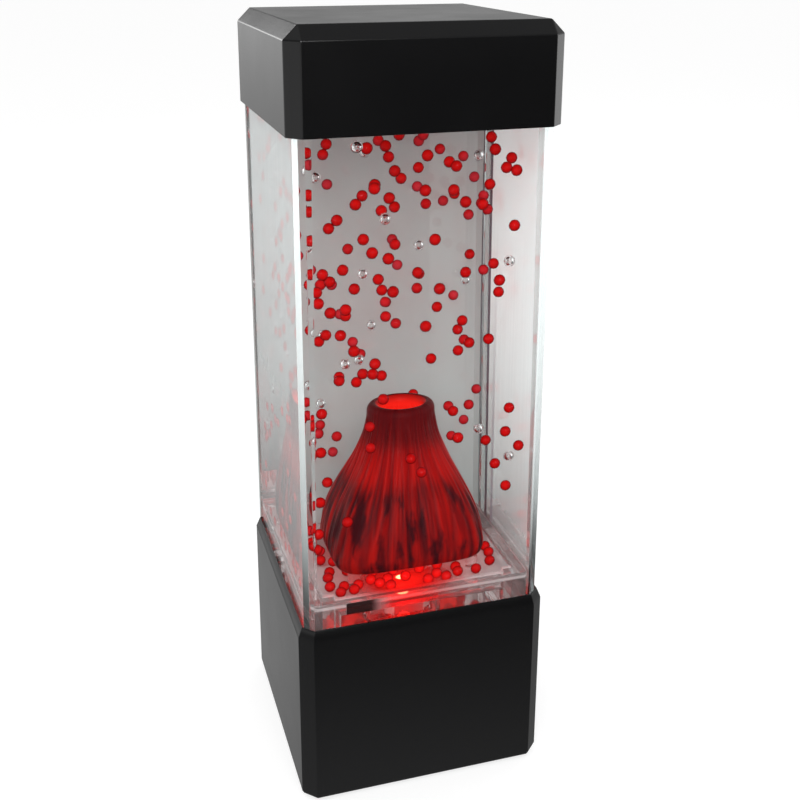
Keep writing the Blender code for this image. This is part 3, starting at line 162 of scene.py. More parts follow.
class TankSettings(PropertyGroup):
    """Clear tank and the film behind it."""

    edge: FloatProperty(
        name="Edge Radius", description="Rounding of the polished edges",
        subtype="DISTANCE", default=0.00025,
    )
    inner_corner: FloatProperty(
        name="Inner Corner", description="Set-back of the inner corners' facets at the rim",
        subtype="DISTANCE", default=0.0037,
    )
    # The left and right haze also set the strength of a painted white glow on those walls
    left_haze_and_glow: FloatProperty(
        name="Left Haze", description="Share of light that the top of the left wall scatters",
        subtype="FACTOR", default=0.47,
    )
    right_haze_and_glow: FloatProperty(
        name="Right Haze", description="Share of light that the top of the right wall scatters",
        subtype="FACTOR", default=1.25,
    )
    film_colour: FloatVectorProperty(
        name="Film Colour", description="Colour of the film on the rear wall",
        subtype="COLOR", default=(0.385, 0.385, 0.380),
    )
    # The reach places a painted reflection of the film's dark edge on the right wall
    film_reach: FloatProperty(
        name="Film Reach",
        description="Where the film's dark edge shows on the right wall, from the axis backwards",
        subtype="DISTANCE", default=0.026,
    )
    # The film's dark edge is painted at its right side only: partly its own edge, partly painted
    # shade
    film_edge: FloatProperty(
        name="Film Edge", description="Width of the dark edge of the film",
        subtype="DISTANCE", default=0.0009,
    )


class VolcanoSettings(PropertyGroup):
    """Hollow fluted volcano."""

    sides: IntProperty(name="Sides", description="Faces round the volcano", default=360)
    rings: IntProperty(
        name="Rings", description="Faces up the outside, over the lip and down inside", default=160
    )
    foot_width: FloatProperty(
        name="Foot Width", description="Width of the square foot",
        subtype="DISTANCE", default=0.0630,
    )
    crater_radius: FloatProperty(
        name="Crater Radius", description="Outer radius of the crater's lip",
        subtype="DISTANCE", default=0.0138,
    )
    lip: FloatProperty(
        name="Lip", description="Thickness of the rounded lip", subtype="DISTANCE", default=0.0052
    )
    wall: FloatProperty(
        name="Wall", description="Thickness of the shell", subtype="DISTANCE", default=0.0018
    )
    flute: FloatProperty(
        name="Flute Depth", description="Depth of the flutes", subtype="DISTANCE", default=0.0010
    )
    rill: FloatProperty(
        name="Rill Depth", description="Depth of the fine rills", subtype="DISTANCE", default=0.0004
    )
    # The glow is painted light that stands in for the base lights' light through the shell
    glow: FloatProperty(
        name="Glow", description="Strength of the light that the shell passes", default=0.22
    )


class BeadSettings(PropertyGroup):
    """Beads in the water and on the tray."""

    radius: FloatProperty(
        name="Radius", description="Radius of one bead", subtype="DISTANCE", default=0.00225
    )
    rising: IntProperty(name="Rising Beads", description="Red beads over the crater", default=150)
    falling: IntProperty(name="Falling Beads", description="Red beads beside the volcano", default=44)
    resting: IntProperty(name="Resting Beads", description="Red beads on the tray", default=60)
    clear: IntProperty(name="Clear Beads", description="Hollow clear beads in the water", default=24)
    hollow: FloatProperty(
        name="Hollow", description="Radius of the air inside a clear bead",
        subtype="DISTANCE", default=0.0017,
    )
    seed: IntProperty(name="Seed", description="Seed of the beads' places", default=7)
    colour: FloatVectorProperty(
        name="Colour", description="Colour of the red beads",
        subtype="COLOR", default=(0.95, 0.014, 0.012),
    )


class LightSettings(PropertyGroup):
    """Red lights in the base and the studio round the lamp."""

    led_colour: FloatVectorProperty(
        name="LED Colour", description="Colour of the lights in the base",
        subtype="COLOR", default=(1.0, 0.02, 0.01),
    )
    led_power: FloatProperty(
        name="LED Power", description="Power of the front light in the base",
        subtype="POWER", default=0.005,
    )
    led_rest: FloatProperty(
        name="Other LEDs", description="How bright the other lights are beside the front one",
        subtype="FACTOR", default=0.16,
    )
    room: FloatProperty(
        name="Room Light", description="Level of the even light round the lamp", default=0.74
    )
    softbox: FloatProperty(
        name="Softbox Brightness", description="How bright the large studio lights look",
        default=1.0,
    )


SETTINGS = {
    "lamp_plastic": PlasticSettings,
    "lamp_tank": TankSettings,
    "lamp_volcano": VolcanoSettings,
    "lamp_beads": BeadSettings,
    "lamp_light": LightSettings,
}


def feed(tree, socket, value):
    """Set a socket to a plain value or a colour, or link it to what a Field stands for."""
    if isinstance(value, Field):
        tree.links.new(value.socket, socket)
    elif isinstance(value, tuple):
        socket.default_value = (*value, 1.0)
    else:
        socket.default_value = value


class Field:
    """A value that varies over a surface or along points, built up by ordinary sums."""

    def __init__(self, tree, socket):
        self.tree = tree
        self.socket = socket

    def math(self, operation, *others):
        node = self.tree.nodes.new("ShaderNodeMath")
        node.operation = operation
        for socket, value in zip(node.inputs, (self, *others)):
            feed(self.tree, socket, value)
        return Field(self.tree, node.outputs[0])

    def __add__(self, other):
        return self.math("ADD", other)

    def __sub__(self, other):
        return self.math("SUBTRACT", other)

    def __mul__(self, other):
        return self.math("MULTIPLY", other)

    def __truediv__(self, other):
        return self.math("DIVIDE", other)

    def __pow__(self, other):
        return self.math("POWER", other)

    def cos(self):
        return self.math("COSINE")

    def sin(self):
        return self.math("SINE")

    def size(self):
        return self.math("ABSOLUTE")

    def at_least(self, other):
        return self.math("MAXIMUM", other)

    def at_most(self, other):
        return self.math("MINIMUM", other)

    def inverted(self):
        """1 where it is 0, and 0 where it is 1."""
        return self * -1.0 + 1.0

    def between(self, low, high, smooth=True):
        """0 up to low and 1 from high on. Where low is the greater, it falls from 1 to 0."""
        node = self.tree.nodes.new("ShaderNodeMapRange")
        node.interpolation_type = "SMOOTHSTEP" if smooth else "LINEAR"
        feed(self.tree, node.inputs["Value"], self)
        feed(self.tree, node.inputs["From Min"], low)
        feed(self.tree, node.inputs["From Max"], high)
        return Field(self.tree, node.outputs["Result"])

    def parts(self):
        """X, Y and Z of a vector."""
        node = self.tree.nodes.new("ShaderNodeSeparateXYZ")
        feed(self.tree, node.inputs[0], self)
        return [Field(self.tree, output) for output in node.outputs]


def vector_of(tree, x, y, z):
    """A vector from its three parts."""
    node = tree.nodes.new("ShaderNodeCombineXYZ")
    for socket, value in zip(node.inputs, (x, y, z)):
        feed(tree, socket, value)
    return Field(tree, node.outputs[0])


def noise(tree, vector, scale, detail=2.0, roughness=0.5):
    """Noise from 0 to 1. Scale is in waves to the metre."""
    node = tree.nodes.new("ShaderNodeTexNoise")
    feed(tree, node.inputs["Vector"], vector)
    node.inputs["Scale"].default_value = scale
    node.inputs["Detail"].default_value = detail
    node.inputs["Roughness"].default_value = roughness
    return Field(tree, node.outputs[0])


def rays(tree, *kinds):
    """For each kind of ray, a value that is 1 for such a ray and 0 for the others."""
    node = tree.nodes.new("ShaderNodeLightPath")
    return [Field(tree, node.outputs[f"Is {kind} Ray"]) for kind in kinds]


def toned(colour, *tones):
    """A colour times one number, or times one each for red, green and blue."""
    return tuple(value * tone for value, tone in zip(colour, tones * 3))


class Finish:
    """A material, with short ways to the nodes that its pattern needs."""

    def __init__(self, name, colour, roughness, **sockets):
        self.material = bpy.data.materials.new(name)
        self.material.use_nodes = True
        self.tree = self.material.node_tree
        self.shader = self.tree.nodes["Principled BSDF"]
        self.output = self.tree.nodes["Material Output"]
        self.set("Base Color", colour)
        self.set("Roughness", roughness)
        for socket, value in sockets.items():
            self.set(socket.replace("_", " "), value)

    def set(self, socket, value):
        feed(self.tree, self.shader.inputs[socket], value)

    def place(self, stretch=(1.0, 1.0, 1.0)):
        """Object coordinates, which a stretch below 1 draws out along an axis."""
        coordinates = self.tree.nodes.new("ShaderNodeTexCoord")
        mapping = self.tree.nodes.new("ShaderNodeMapping")
        mapping.inputs["Scale"].default_value = stretch
        self.tree.links.new(coordinates.outputs["Object"], mapping.inputs["Vector"])
        return Field(self.tree, mapping.outputs["Vector"])

    def noise(self, scale, detail=2.0, stretch=(1.0, 1.0, 1.0)):
        return noise(self.tree, self.place(stretch), scale, detail)

    def mix(self, share, first, second):
        """Colour between two colours."""
        node = self.tree.nodes.new("ShaderNodeMix")
        node.data_type = "RGBA"
        for socket, value in ((0, share), (6, first), (7, second)):
            feed(self.tree, node.inputs[socket], value)
        return Field(self.tree, node.outputs[2])

    def grazing(self):
        """0 where the glass is seen squarely and 1 where it is seen along its face."""
        node = self.tree.nodes.new("ShaderNodeLayerWeight")
        return Field(self.tree, node.outputs["Facing"])

    def normal(self):
        """X, Y and Z of the way that the surface faces."""
        node = self.tree.nodes.new("ShaderNodeNewGeometry")
        return Field(self.tree, node.outputs["Normal"]).parts()

    def attribute(self, name):
        """Value that the piece's own mesh carries under a name."""
        node = self.tree.nodes.new("ShaderNodeAttribute")
        node.attribute_name = name
        return Field(self.tree, node.outputs["Fac"])

    def bump(self, height, distance, strength=1.0):
        node = self.tree.nodes.new("ShaderNodeBump")
        node.inputs["Distance"].default_value = distance
        node.inputs["Strength"].default_value = strength
        feed(self.tree, node.inputs["Height"], height)
        self.tree.links.new(node.outputs["Normal"], self.shader.inputs["Normal"])

    def glow(self, colour, strength):
        self.set("Emission Color", colour)
        self.set("Emission Strength", strength)

    def pass_lamps(self, tint=WHITE):
        """Lamps shine straight through, tinted, so what lies behind is lit without noise."""
        shadow, diffuse = rays(self.tree, "Shadow", "Diffuse")
        through = self.tree.nodes.new("ShaderNodeBsdfTransparent")
        feed(self.tree, through.inputs["Color"], tint)
        mix = self.tree.nodes.new("ShaderNodeMixShader")
        feed(self.tree, mix.inputs[0], shadow.at_least(diffuse))
        self.tree.links.new(self.shader.outputs[0], mix.inputs[1])
        self.tree.links.new(through.outputs[0], mix.inputs[2])
        self.tree.links.new(mix.outputs[0], self.output.inputs["Surface"])


def from_front_led(finish, back=0.0):
    """How far a point lies from the upright axis of the front light, or from one set back."""
    x, y, _ = finish.place().parts()
    return ((x - FRONT_LED.x) ** 2.0 + (y - (FRONT_LED.y + back)) ** 2.0) ** 0.5


def paint_led_glow(finish, strength):
    """Painted red glow that stands in for the light the front LED throws on what lies within about 3
    cm of it.
    """
    finish.glow(LED_RED, from_front_led(finish).between(0.032, 0.005) * strength)


def black_plastic(settings):
    """Glossy black moulding with a faint grain and a little handling haze."""
    finish = Finish("moulded_black", tuple(settings.colour), settings.roughness, IOR=1.56)
    haze = finish.noise(38.0, 3.0)
    finish.set("Roughness", haze * 0.10 + (settings.roughness - 0.05))
    finish.bump(finish.noise(2600.0, 1.0), 0.000006, 0.6)
    return finish.material


def clear(name, ior, colour=WHITE, shadow=WHITE):
    """Polished clear acrylic or resin."""
    finish = Finish(name, colour, 0.0, IOR=ior, Transmission_Weight=1.0)
    finish.pass_lamps(shadow)
    return finish.material


def tank_side(settings):
    """Inner face of a side wall: a white sheen along it, partly lamp-lit haze and partly a painted
    glow, and at the right a dark stripe that is a painted reflection of the film's dark edge.
    """
    finish = Finish("acrylic_side", WALL_TINT, 0.03, IOR=ACRYLIC_IN_WATER)
    x, y, z = finish.place().parts()
    on_left, on_right = x.between(0.0, -BLUR), x.between(0.0, BLUR)
    left = finish.grazing().between(0.08, 0.26) * settings.left_haze_and_glow * on_left
    right = finish.grazing().between(0.30, 0.64) * settings.right_haze_and_glow * on_right
    # Painted reflection: behind the film's reach the right wall shows the film, so its haze stops
    # there, and a dark stripe stands for the film's dark edge seen in the glass
    covered = y.between(settings.film_reach, settings.film_reach + BLUR) * on_right
    edge = covered * y.between(settings.film_reach + 0.0045, settings.film_reach + 0.0035)
    height = z.between(BASE_TOP, CAP_FOOT, smooth=False) ** 0.75 * 0.92 + 0.05
    streaks = finish.noise(420.0, 3.0, (1.0, 1.0, 0.012)) * 0.2 + 0.9
    haze = height * streaks * (left + right) * covered.inverted()
    finish.set("Base Color", finish.mix(edge, WALL_TINT, (0.15, 0.11, 0.14)))
    finish.set("Transmission Weight", (haze + edge * 0.85).inverted())
    # Painted light: a pale glow on the hazy walls, stronger towards the top, none where the film
    # shows in the right wall
    finish.glow((0.93, 1.0, 1.0), height * (left * 0.40 + right * (covered * -0.14 + 0.14)))
    finish.pass_lamps()
    return finish.material


def grey_film(settings):
    """Satin film behind the rear wall, in faint upright bands, with a dark edge at the right that is
    partly the film's own edge and partly painted shade.

    Towards the water it is tinted a little cooler, a painted tint that offsets the red light falling
    on it, with a faint painted glow on its lower part that stands in for light.
    """
    light = tuple(settings.film_colour)
    finish = Finish("satin_film", light, 0.5)
    x, _, z = finish.place().parts()
    bands = finish.noise(160.0, 3.0, (1.0, 1.0, 0.02)) * 0.5
    cloud = finish.noise(22.0, 3.0) * 0.5 + bands
    facing_water = finish.normal()[1].between(-0.2, -0.8)
    # Painted: the face towards the water is tinted cooler to offset the red light that falls on it
    tinted_against_red_light = finish.mix(facing_water, light, toned(light, 0.975, 1.05, 1.045))
    clouded = finish.mix(cloud, toned(light, 0.88), tinted_against_red_light)
    # Dark right edge: partly the film's own edge, partly painted shade, on the right side only
    edge_start = TANK_HIGH.x - settings.film_edge
    edge = x.between(edge_start, edge_start + BLUR)
    finish.set("Base Color", finish.mix(edge, clouded, (0.085, 0.068, 0.080)))
    finish.set("Roughness", bands * 0.30 + 0.36)
    # Painted light: a faint cool glow low down on the face towards the water
    finish.glow((0.65, 1.0, 0.96), z.between(0.175, 0.130) * facing_water * 0.07)
    finish.bump(finish.noise(900.0, 2.0), 0.00002, 0.3)
    return finish.material


def tray_clear(light):
    """Milky acrylic, with a painted red pool and glow round the front light, a painted bright spot
    over it and a patch of painted shade over the front slot.
    """
    finish = Finish(
        "acrylic_tray", TRAY_TINT, 0.02, IOR=ACRYLIC_IN_WATER, Transmission_Weight=0.93
    )
    x, y, z = finish.place().parts()
    # Painted shade: a dark, nearly opaque patch where the front water slot shows the shaded inside
    across = x.between(SLOT_LEFT - BLUR, SLOT_LEFT) * x.between(SLOT_RIGHT, SLOT_RIGHT - SLOT_FADE)
    up = z.between(SLOT_FOOT - BLUR, SLOT_FOOT) * z.between(SLOT_TOP + BLUR, SLOT_TOP)
    slot = across * up * y.between(-TRAY_INSIDE, -TRAY_INSIDE - BLUR)
    away = from_front_led(finish)
    # Painted red light: the base colour turns red near the front light
    lit = finish.mix(away.between(0.009, 0.030), (0.80, 0.012, 0.010), TRAY_TINT)
    finish.set("Base Color", finish.mix(slot, lit, (0.020, 0.008, 0.008)))
    top = z.between(TRAY_TOP - 0.001, TRAY_TOP - BLUR)
    floor = top * z.between(TRAY_TOP + 0.001, TRAY_TOP + BLUR)
    milky = top * 0.08 + floor * 0.20 + slot * 0.66
    finish.set("Transmission Weight", milky * -1.0 + 0.96)
    # Painted highlight: the front light's bright spot on the tray's top, set back from the light
    painted_spot = from_front_led(finish, PAINTED_SPOT_BACK).between(0.0030, 0.0016) * top
    # Painted red glow round the front light, none over the slot's painted shade
    red = away.between(0.026, 0.002) ** 2.0 * (top * 0.20 + 0.16) * slot.inverted()
    finish.glow(finish.mix(painted_spot, tuple(light.led_colour), (1.0, 0.50, 0.22)), red + painted_spot * 3.0)
    finish.pass_lamps(CLEAR_SHADOW)
    return finish.material


def volcano_outside(settings):
    """Red shell with fine streaks and dark tongues of slag, with painted shade in the flutes' grooves
    and towards the top, and a painted glow, brightest in a belt, that stands in for the light from
    below.
    """
    finish = Finish("lava_outside", (0.13, 0.008, 0.006), 0.34, IOR=ACRYLIC_IN_WATER)
    height = (finish.place().parts()[2] - VOLCANO_LOW.z) / VOLCANO_HEIGHT
    crest, streak, slag = (finish.attribute(name) for name in ("crest", "streak", "slag"))
    tongues = slag.between(0.47, 0.60) * height.between(0.58, 0.44)
    # Painted shade: darker towards the top
    shade = height.between(0.98, 0.62) * 0.50 + 0.50
    contrast = height.between(0.86, 0.58) * 0.6 + 0.4
    # Painted shade: the flutes' grooves darker than their crests, mixed with real streaks of colour
    groove_shade_and_streaks = (crest * 0.35 + streak.between(0.30, 0.70) * 0.65 - 0.5) * contrast + 0.5
    red = groove_shade_and_streaks * (tongues * -0.94 + 1.0) * shade
    finish.set("Base Color", finish.mix(red, (0.024, 0.001, 0.003), (0.25, 0.003, 0.002)))
    # Painted light: a glow that stands in for the light from below, brightest in a belt round the
    # middle, on the crests and low down
    painted_glow_belt = height.between(0.46, 0.60) * height.between(0.82, 0.68)
    light = painted_glow_belt * (red * 0.5 + 0.5) + red * height.between(0.62, 0.36) * 0.45
    finish.glow((0.86, 0.004, 0.002), light * settings.glow)
    finish.bump(streak, 0.0004, 0.7)
    return finish.material


def volcano_inside():
    """Inner wall, dark red at the lip, with a painted glow a little further down that stands in for
    the light from below.
    """
    finish = Finish("lava_inside", (0.30, 0.004, 0.003), 0.30, IOR=ACRYLIC_IN_WATER)
    depth = finish.place().parts()[2] * -1.0 + VOLCANO_HIGH.z
    # Painted light: a glow that grows with depth below the lip
    finish.glow((1.0, 0.020, 0.010), depth.between(-0.0005, 0.004) * 0.64 + 0.02)
    return finish.material


def red_bead(settings):
    """Red resin, deeper towards each bead's rim, with painted shade on its underside and a painted
    glow, stronger on top and over the front light.

    Towards the rear wall some beads are paler, a painted haze as if seen through milky water.
    """
    light = tuple(settings.colour)
    finish = Finish("red_resin", light, 0.08, IOR=RESIN_IN_WATER, Transmission_Weight=0.70)
    finish.set("Coat Weight", 1.0)
    finish.set("Coat IOR", 1.015)
    finish.set("Coat Tint", (0.60, 0.42, 0.52))
    _, y, z = finish.place().parts()
    near_led = from_front_led(finish).between(0.030, 0.004) * z.between(VOLCANO_LOW.z, TRAY_TOP)
    top = finish.normal()[2].between(-0.9, 0.7)
    # Painted haze: paler towards the rear wall, in patches
    painted_haze = y.between(-0.01, WATER_HALF) * finish.noise(85.0, 0.0).between(0.30, 0.70)
    painted_glow_patches = finish.noise(120.0, 0.0).between(0.25, 0.75)
    # Painted shade: darker on each bead's underside, lighter on top, with random tone
    red = finish.mix(finish.noise(260.0, 1.0) * 0.5 + top * 0.5, toned(light, 0.62), light)
    finish.set("Base Color", finish.mix(painted_haze, red, (0.80, 0.11, 0.12)))
    # Painted light: a glow on every bead, stronger on tops, in patches, and near the front light
    finish.glow(
        finish.mix(painted_haze, LED_RED, (0.95, 0.085, 0.095)),
        near_led * 1.1 + top * painted_glow_patches * 0.18 + top * 0.10 + 0.20,
    )
    finish.pass_lamps((0.95, 0.30, 0.28))
    return finish.material


def metal(name, colour, roughness, stretch=(1.0, 1.0, 1.0)):
    """Plated metal with fine drawn marks."""
    finish = Finish(name, colour, roughness, Metallic=1.0)
    marks = finish.noise(1500.0, 2.0, stretch)
    finish.set("Roughness", marks * 0.16 + (roughness - 0.08))
    finish.bump(marks, 0.000008, 0.5)
    return finish.material


def moulded(name, colour, roughness, grain=1400.0, depth=0.00001, red=0.0):
    """Plain moulding or rubber with a fine grain and a little change of tone, and where red is given,
    a painted red glow near the front LED that stands in for its light.
    """
    finish = Finish(name, colour, roughness)
    # Painted light: red glow near the front LED
    if red:
        paint_led_glow(finish, red)
    finish.set("Base Color", finish.mix(finish.noise(60.0, 2.0), toned(colour, 0.86), colour))
    finish.bump(finish.noise(grain, 2.0), depth, 0.6)
    return finish.material


def circuit_board(name, mask, track, red=0.0):
    """Solder mask over a net of raised tracks, and where red is given, a painted red glow near the
    front LED that stands in for its light.
    """
    finish = Finish(name, mask, 0.32)
    # Painted light: red glow near the front LED
    if red:
        paint_led_glow(finish, red)
    pitch = 0.0032
    across, along = (
        (value / pitch * math.pi).sin().size().between(0.90, 0.97)
        for value in finish.place().parts()[:2]
    )
    turn = finish.noise(140.0, 1.0).between(0.48, 0.52)
    net = (across * turn + along * turn.inverted()).at_most(1.0)
    finish.set("Base Color", finish.mix(net, mask, track))
    finish.bump(net, 0.00004, 0.5)
    return finish.material


def lit_lens(light):
    """Red LED lens that shines at its tip."""
    finish = Finish("led_lens", (0.70, 0.012, 0.008), 0.5, Specular_IOR_Level=0.0)
    height = finish.place().parts()[2]
    finish.glow(tuple(light.led_colour), height.between(LED_LOW.z, LED_HIGH.z) * 0.9)
    return finish.material


def cell_sleeve():
    """Plain dark sleeve with a copper coloured band at each plus end, which alternate."""
    finish = Finish("cell_sleeve", SLEEVE_GREY, 0.3, Metallic=0.3)
    x, y, _ = finish.place().parts()
    low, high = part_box("battery_2")
    beside_middle = ((y - low.y) * (y - high.y)).between(-0.000001, 0.000001)
    plus_side = beside_middle * 2.0 - 1.0
    band = (x * plus_side).between(0.0135, 0.0140)
    finish.set("Base Color", finish.mix(band, SLEEVE_GREY, (0.42, 0.20, 0.08)))
    finish.set("Metallic", band * 0.6 + 0.2)
    return finish.material


def numbered(stem, count):
    """Names of a row of CAD nodes."""
    return [f"{stem}_{number}" for number in range(1, count + 1)]


def paint(material, *nodes):
    """Give CAD nodes a material."""
    for name in nodes:
        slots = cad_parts[name].data.materials
        slots.clear()
        slots.append(material)


def keep(obj, body, slot, *nodes):
    """Tie a finished piece to its body and hide the CAD nodes that it stands for."""
    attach(obj, body)
    if nodes:
        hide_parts(*nodes)


def show(name, data, *materials):
    """Put a mesh, a lamp or the camera into the scene."""
    obj = bpy.data.objects.new(name, data)
    bpy.context.scene.collection.objects.link(obj)
    for material in materials:
        data.materials.append(material)
    return obj


def welded(node, name):
    """A copy of a CAD node's mesh, whose flat faces are whole again."""
    bm = bmesh.new()
    bm.from_mesh(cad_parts[node].data)
    bmesh.ops.remove_doubles(bm, verts=bm.verts, dist=MERGE_DISTANCE)
    bmesh.ops.dissolve_limit(bm, angle_limit=math.radians(1), verts=bm.verts, edges=bm.edges)
    mesh = bpy.data.meshes.new(name)
    bm.to_mesh(mesh)
    bm.free()
    return mesh


def soften(obj, radius, segments=3):
    """Round every real edge a little, so that it catches the light, and keep the flat faces flat."""
    obj.data.shade_smooth()
    bevel = obj.modifiers.new("edges", "BEVEL")
    bevel.width = radius
    bevel.segments = segments
    bevel.limit_method = "ANGLE"
    bevel.angle_limit = math.radians(30)
    bevel.use_clamp_overlap = True
    flat = obj.modifiers.new("flat_faces", "WEIGHTED_NORMAL")
    flat.mode = "FACE_AREA"


def baked(obj):
    """The object with its modifiers turned into plain mesh."""
    graph = bpy.context.evaluated_depsgraph_get()
    mesh = bpy.data.meshes.new_from_object(obj.evaluated_get(graph))
    mesh.name = obj.name
    obj.modifiers.clear()
    obj.data = mesh
    return obj


def outward(mesh, turned=False):
    """Point a closed mesh's faces outwards, or inwards for the wall of a hollow."""
    bm = bmesh.new()
    bm.from_mesh(mesh)
    bmesh.ops.recalc_face_normals(bm, faces=bm.faces)
    if turned:
        bmesh.ops.reverse_faces(bm, faces=bm.faces)
    bm.to_mesh(mesh)
    bm.free()


def points_mesh(name, places):
    """A mesh of loose points."""
    mesh = bpy.data.meshes.new(name)
    mesh.from_pydata(places, [], [])
    return mesh


class NodeTree:
    """A Geometry Nodes tree in the making, with named inputs."""

    def __init__(self, name):
        self.tree = bpy.data.node_groups.new(name, "GeometryNodeTree")
        self.tree.is_modifier = True
        for way in ("INPUT", "OUTPUT"):
            self.tree.interface.new_socket("Geometry", in_out=way, socket_type="NodeSocketGeometry")
        self.start = self.tree.nodes.new("NodeGroupInput")
        self.end = self.tree.nodes.new("NodeGroupOutput")

    def input(self, name, kind="NodeSocketFloat"):
        """A named input of the tree."""
        self.tree.interface.new_socket(name, in_out="INPUT", socket_type=kind)
        return Field(self.tree, self.start.outputs[name])

    def geometry(self):
        return Field(self.tree, self.start.outputs["Geometry"])

    def node(self, kind, **inputs):
        """A node with some of its inputs set. Underscores in their names stand for spaces."""
        node = self.tree.nodes.new(kind)
        for name, value in inputs.items():
            feed(self.tree, node.inputs[name.replace("_", " ")], value)
        return Field(self.tree, node.outputs[0])

    def finish(self, geometry, inside=None):
        """Realize what was made, give what isn't painted inside its material and send it out."""
        whole = self.node("GeometryNodeRealizeInstances", Geometry=geometry)
        material = self.input("Material", "NodeSocketMaterial")
        painted = self.node("GeometryNodeSetMaterial", Geometry=whole, Material=material)
        if inside:
            taken = self.node("GeometryNodeMaterialSelection", Material=inside)
            feed(self.tree, painted.socket.node.inputs["Selection"], taken.inverted())
        self.tree.links.new(painted.socket, self.end.inputs[0])
        return self.tree


def grow(name, mesh, tree, **values):
    """Object whose shape a tree makes from its mesh, turned into plain mesh."""
    obj = show(name, mesh)
    modifier = obj.modifiers.new("grow", "NODES")
    modifier.node_group = tree
    for item in tree.interface.items_tree:
        key = item.name.replace(" ", "_").lower()
        if item.in_out == "INPUT" and key in values:
            modifier[item.identifier] = values[key]
    return baked(obj)


def volcano_tree():
    """Grid wrapped round the axis: X is the way round, Y the way up, over the lip and down inside."""
    made = NodeTree("volcano")
    sides = made.input("Sides", "NodeSocketInt")
    rings = made.input("Rings", "NodeSocketInt")
    names = ("Foot Half", "Crater Radius", "Low", "Height", "Lip", "Wall", "Flute", "Rill")
    foot, crater, low, height, lip, wall, flute, rill = (made.input(name) for name in names)
    inside = made.input("Inside", "NodeSocketMaterial")
    grid = made.node(
        "GeometryNodeMeshGrid", Size_X=1.0, Size_Y=1.0, Vertices_X=sides, Vertices_Y=rings
    )
    across, up, _ = made.node("GeometryNodeInputPosition").parts()
    angle = (across + 0.5) * math.tau
    way = up + 0.5
    outer, over, inner = (
        way.between(*span, smooth=False) for span in (OUTSIDE_SPAN, LIP_SPAN, INSIDE_SPAN)
    )
    closing = way.between(*CLOSING_SPAN)
    rise = outer - inner

    # Seen from the side, a bell that tucks in at the foot
    tuck = (rise / 0.09).inverted().at_least(0.0) ** 2.0
    flank = ((rise**FLANK_BEND * math.pi).cos() + 1.0) * 0.5 * (tuck * -0.05 + 1.0)

    # Seen from above, a circle at the crater and a rounded square at the foot
    power = flank * 3.0 + 2.0
    corner = (angle.cos().size() ** power + angle.sin().size() ** power) ** (power**-1.0 * -1.0)

    def round_axis(stretch):
        """Where a point lies on a pipe, which closes a pattern of noise round the axis."""
        return vector_of(made.tree, angle.cos(), angle.sin(), rise * stretch)

    # Wandering flutes that fade out at both ends, with fine rills over them
    fade = rise.between(0.0, 0.10) * rise.between(1.0, 0.90)
    wander = noise(made.tree, round_axis(0.55), 3.2, 1.0) * 5.0
    coarse, fine = ((angle * count + wander).sin().size() for count in (11.0, 17.0))
    crest = coarse * 0.62 + fine * 0.38
    streak = noise(made.tree, round_axis(0.12), 18.0, 3.0)
    slag = noise(made.tree, round_axis(0.55), 5.0, 4.0, 0.6)
    grooves = (crest - 0.6) * flute + (streak * 2.0 - 1.0) * rill
    body = (flank * (foot - crater) + crater) * corner + grooves * fade

    # Half a turn over the lip, whose thickness runs down to the wall's on the inside
    turn = over * math.pi
    thick = wall + (lip - wall) * (inner * -7.0 + 1.0).at_least(0.0) ** 2.0
    radius = body - turn.cos().inverted() * 0.5 * thick * closing.inverted()
    top = rise * (height - lip * 0.6) + turn.sin() * lip * 0.6 + low
    skin = vector_of(made.tree, radius * angle.cos(), radius * angle.sin(), top)

    past_lip = over.between(0.6, 0.61)
    mesh = made.node("GeometryNodeSetMaterial", Geometry=grid, Selection=past_lip, Material=inside)
    for name, value in (("crest", crest), ("streak", streak), ("slag", slag)):
        mesh = made.node("GeometryNodeStoreNamedAttribute", Geometry=mesh, Name=name, Value=value)
    placed = made.node("GeometryNodeSetPosition", Geometry=mesh, Position=skin)
    closed = made.node("GeometryNodeMergeByDistance", Geometry=placed, Distance=MERGE_DISTANCE)
    return made.finish(made.node("GeometryNodeSetShadeSmooth", Geometry=closed), inside)


def bead_tree():
    """A small ball on every point."""
    made = NodeTree("beads")
    radius = made.input("Radius")
    ball = made.node("GeometryNodeMeshIcoSphere", Radius=radius, Subdivisions=2)
    smooth = made.node("GeometryNodeSetShadeSmooth", Geometry=ball)
    return made.finish(
        made.node("GeometryNodeInstanceOnPoints", Points=made.geometry(), Instance=smooth)
    )


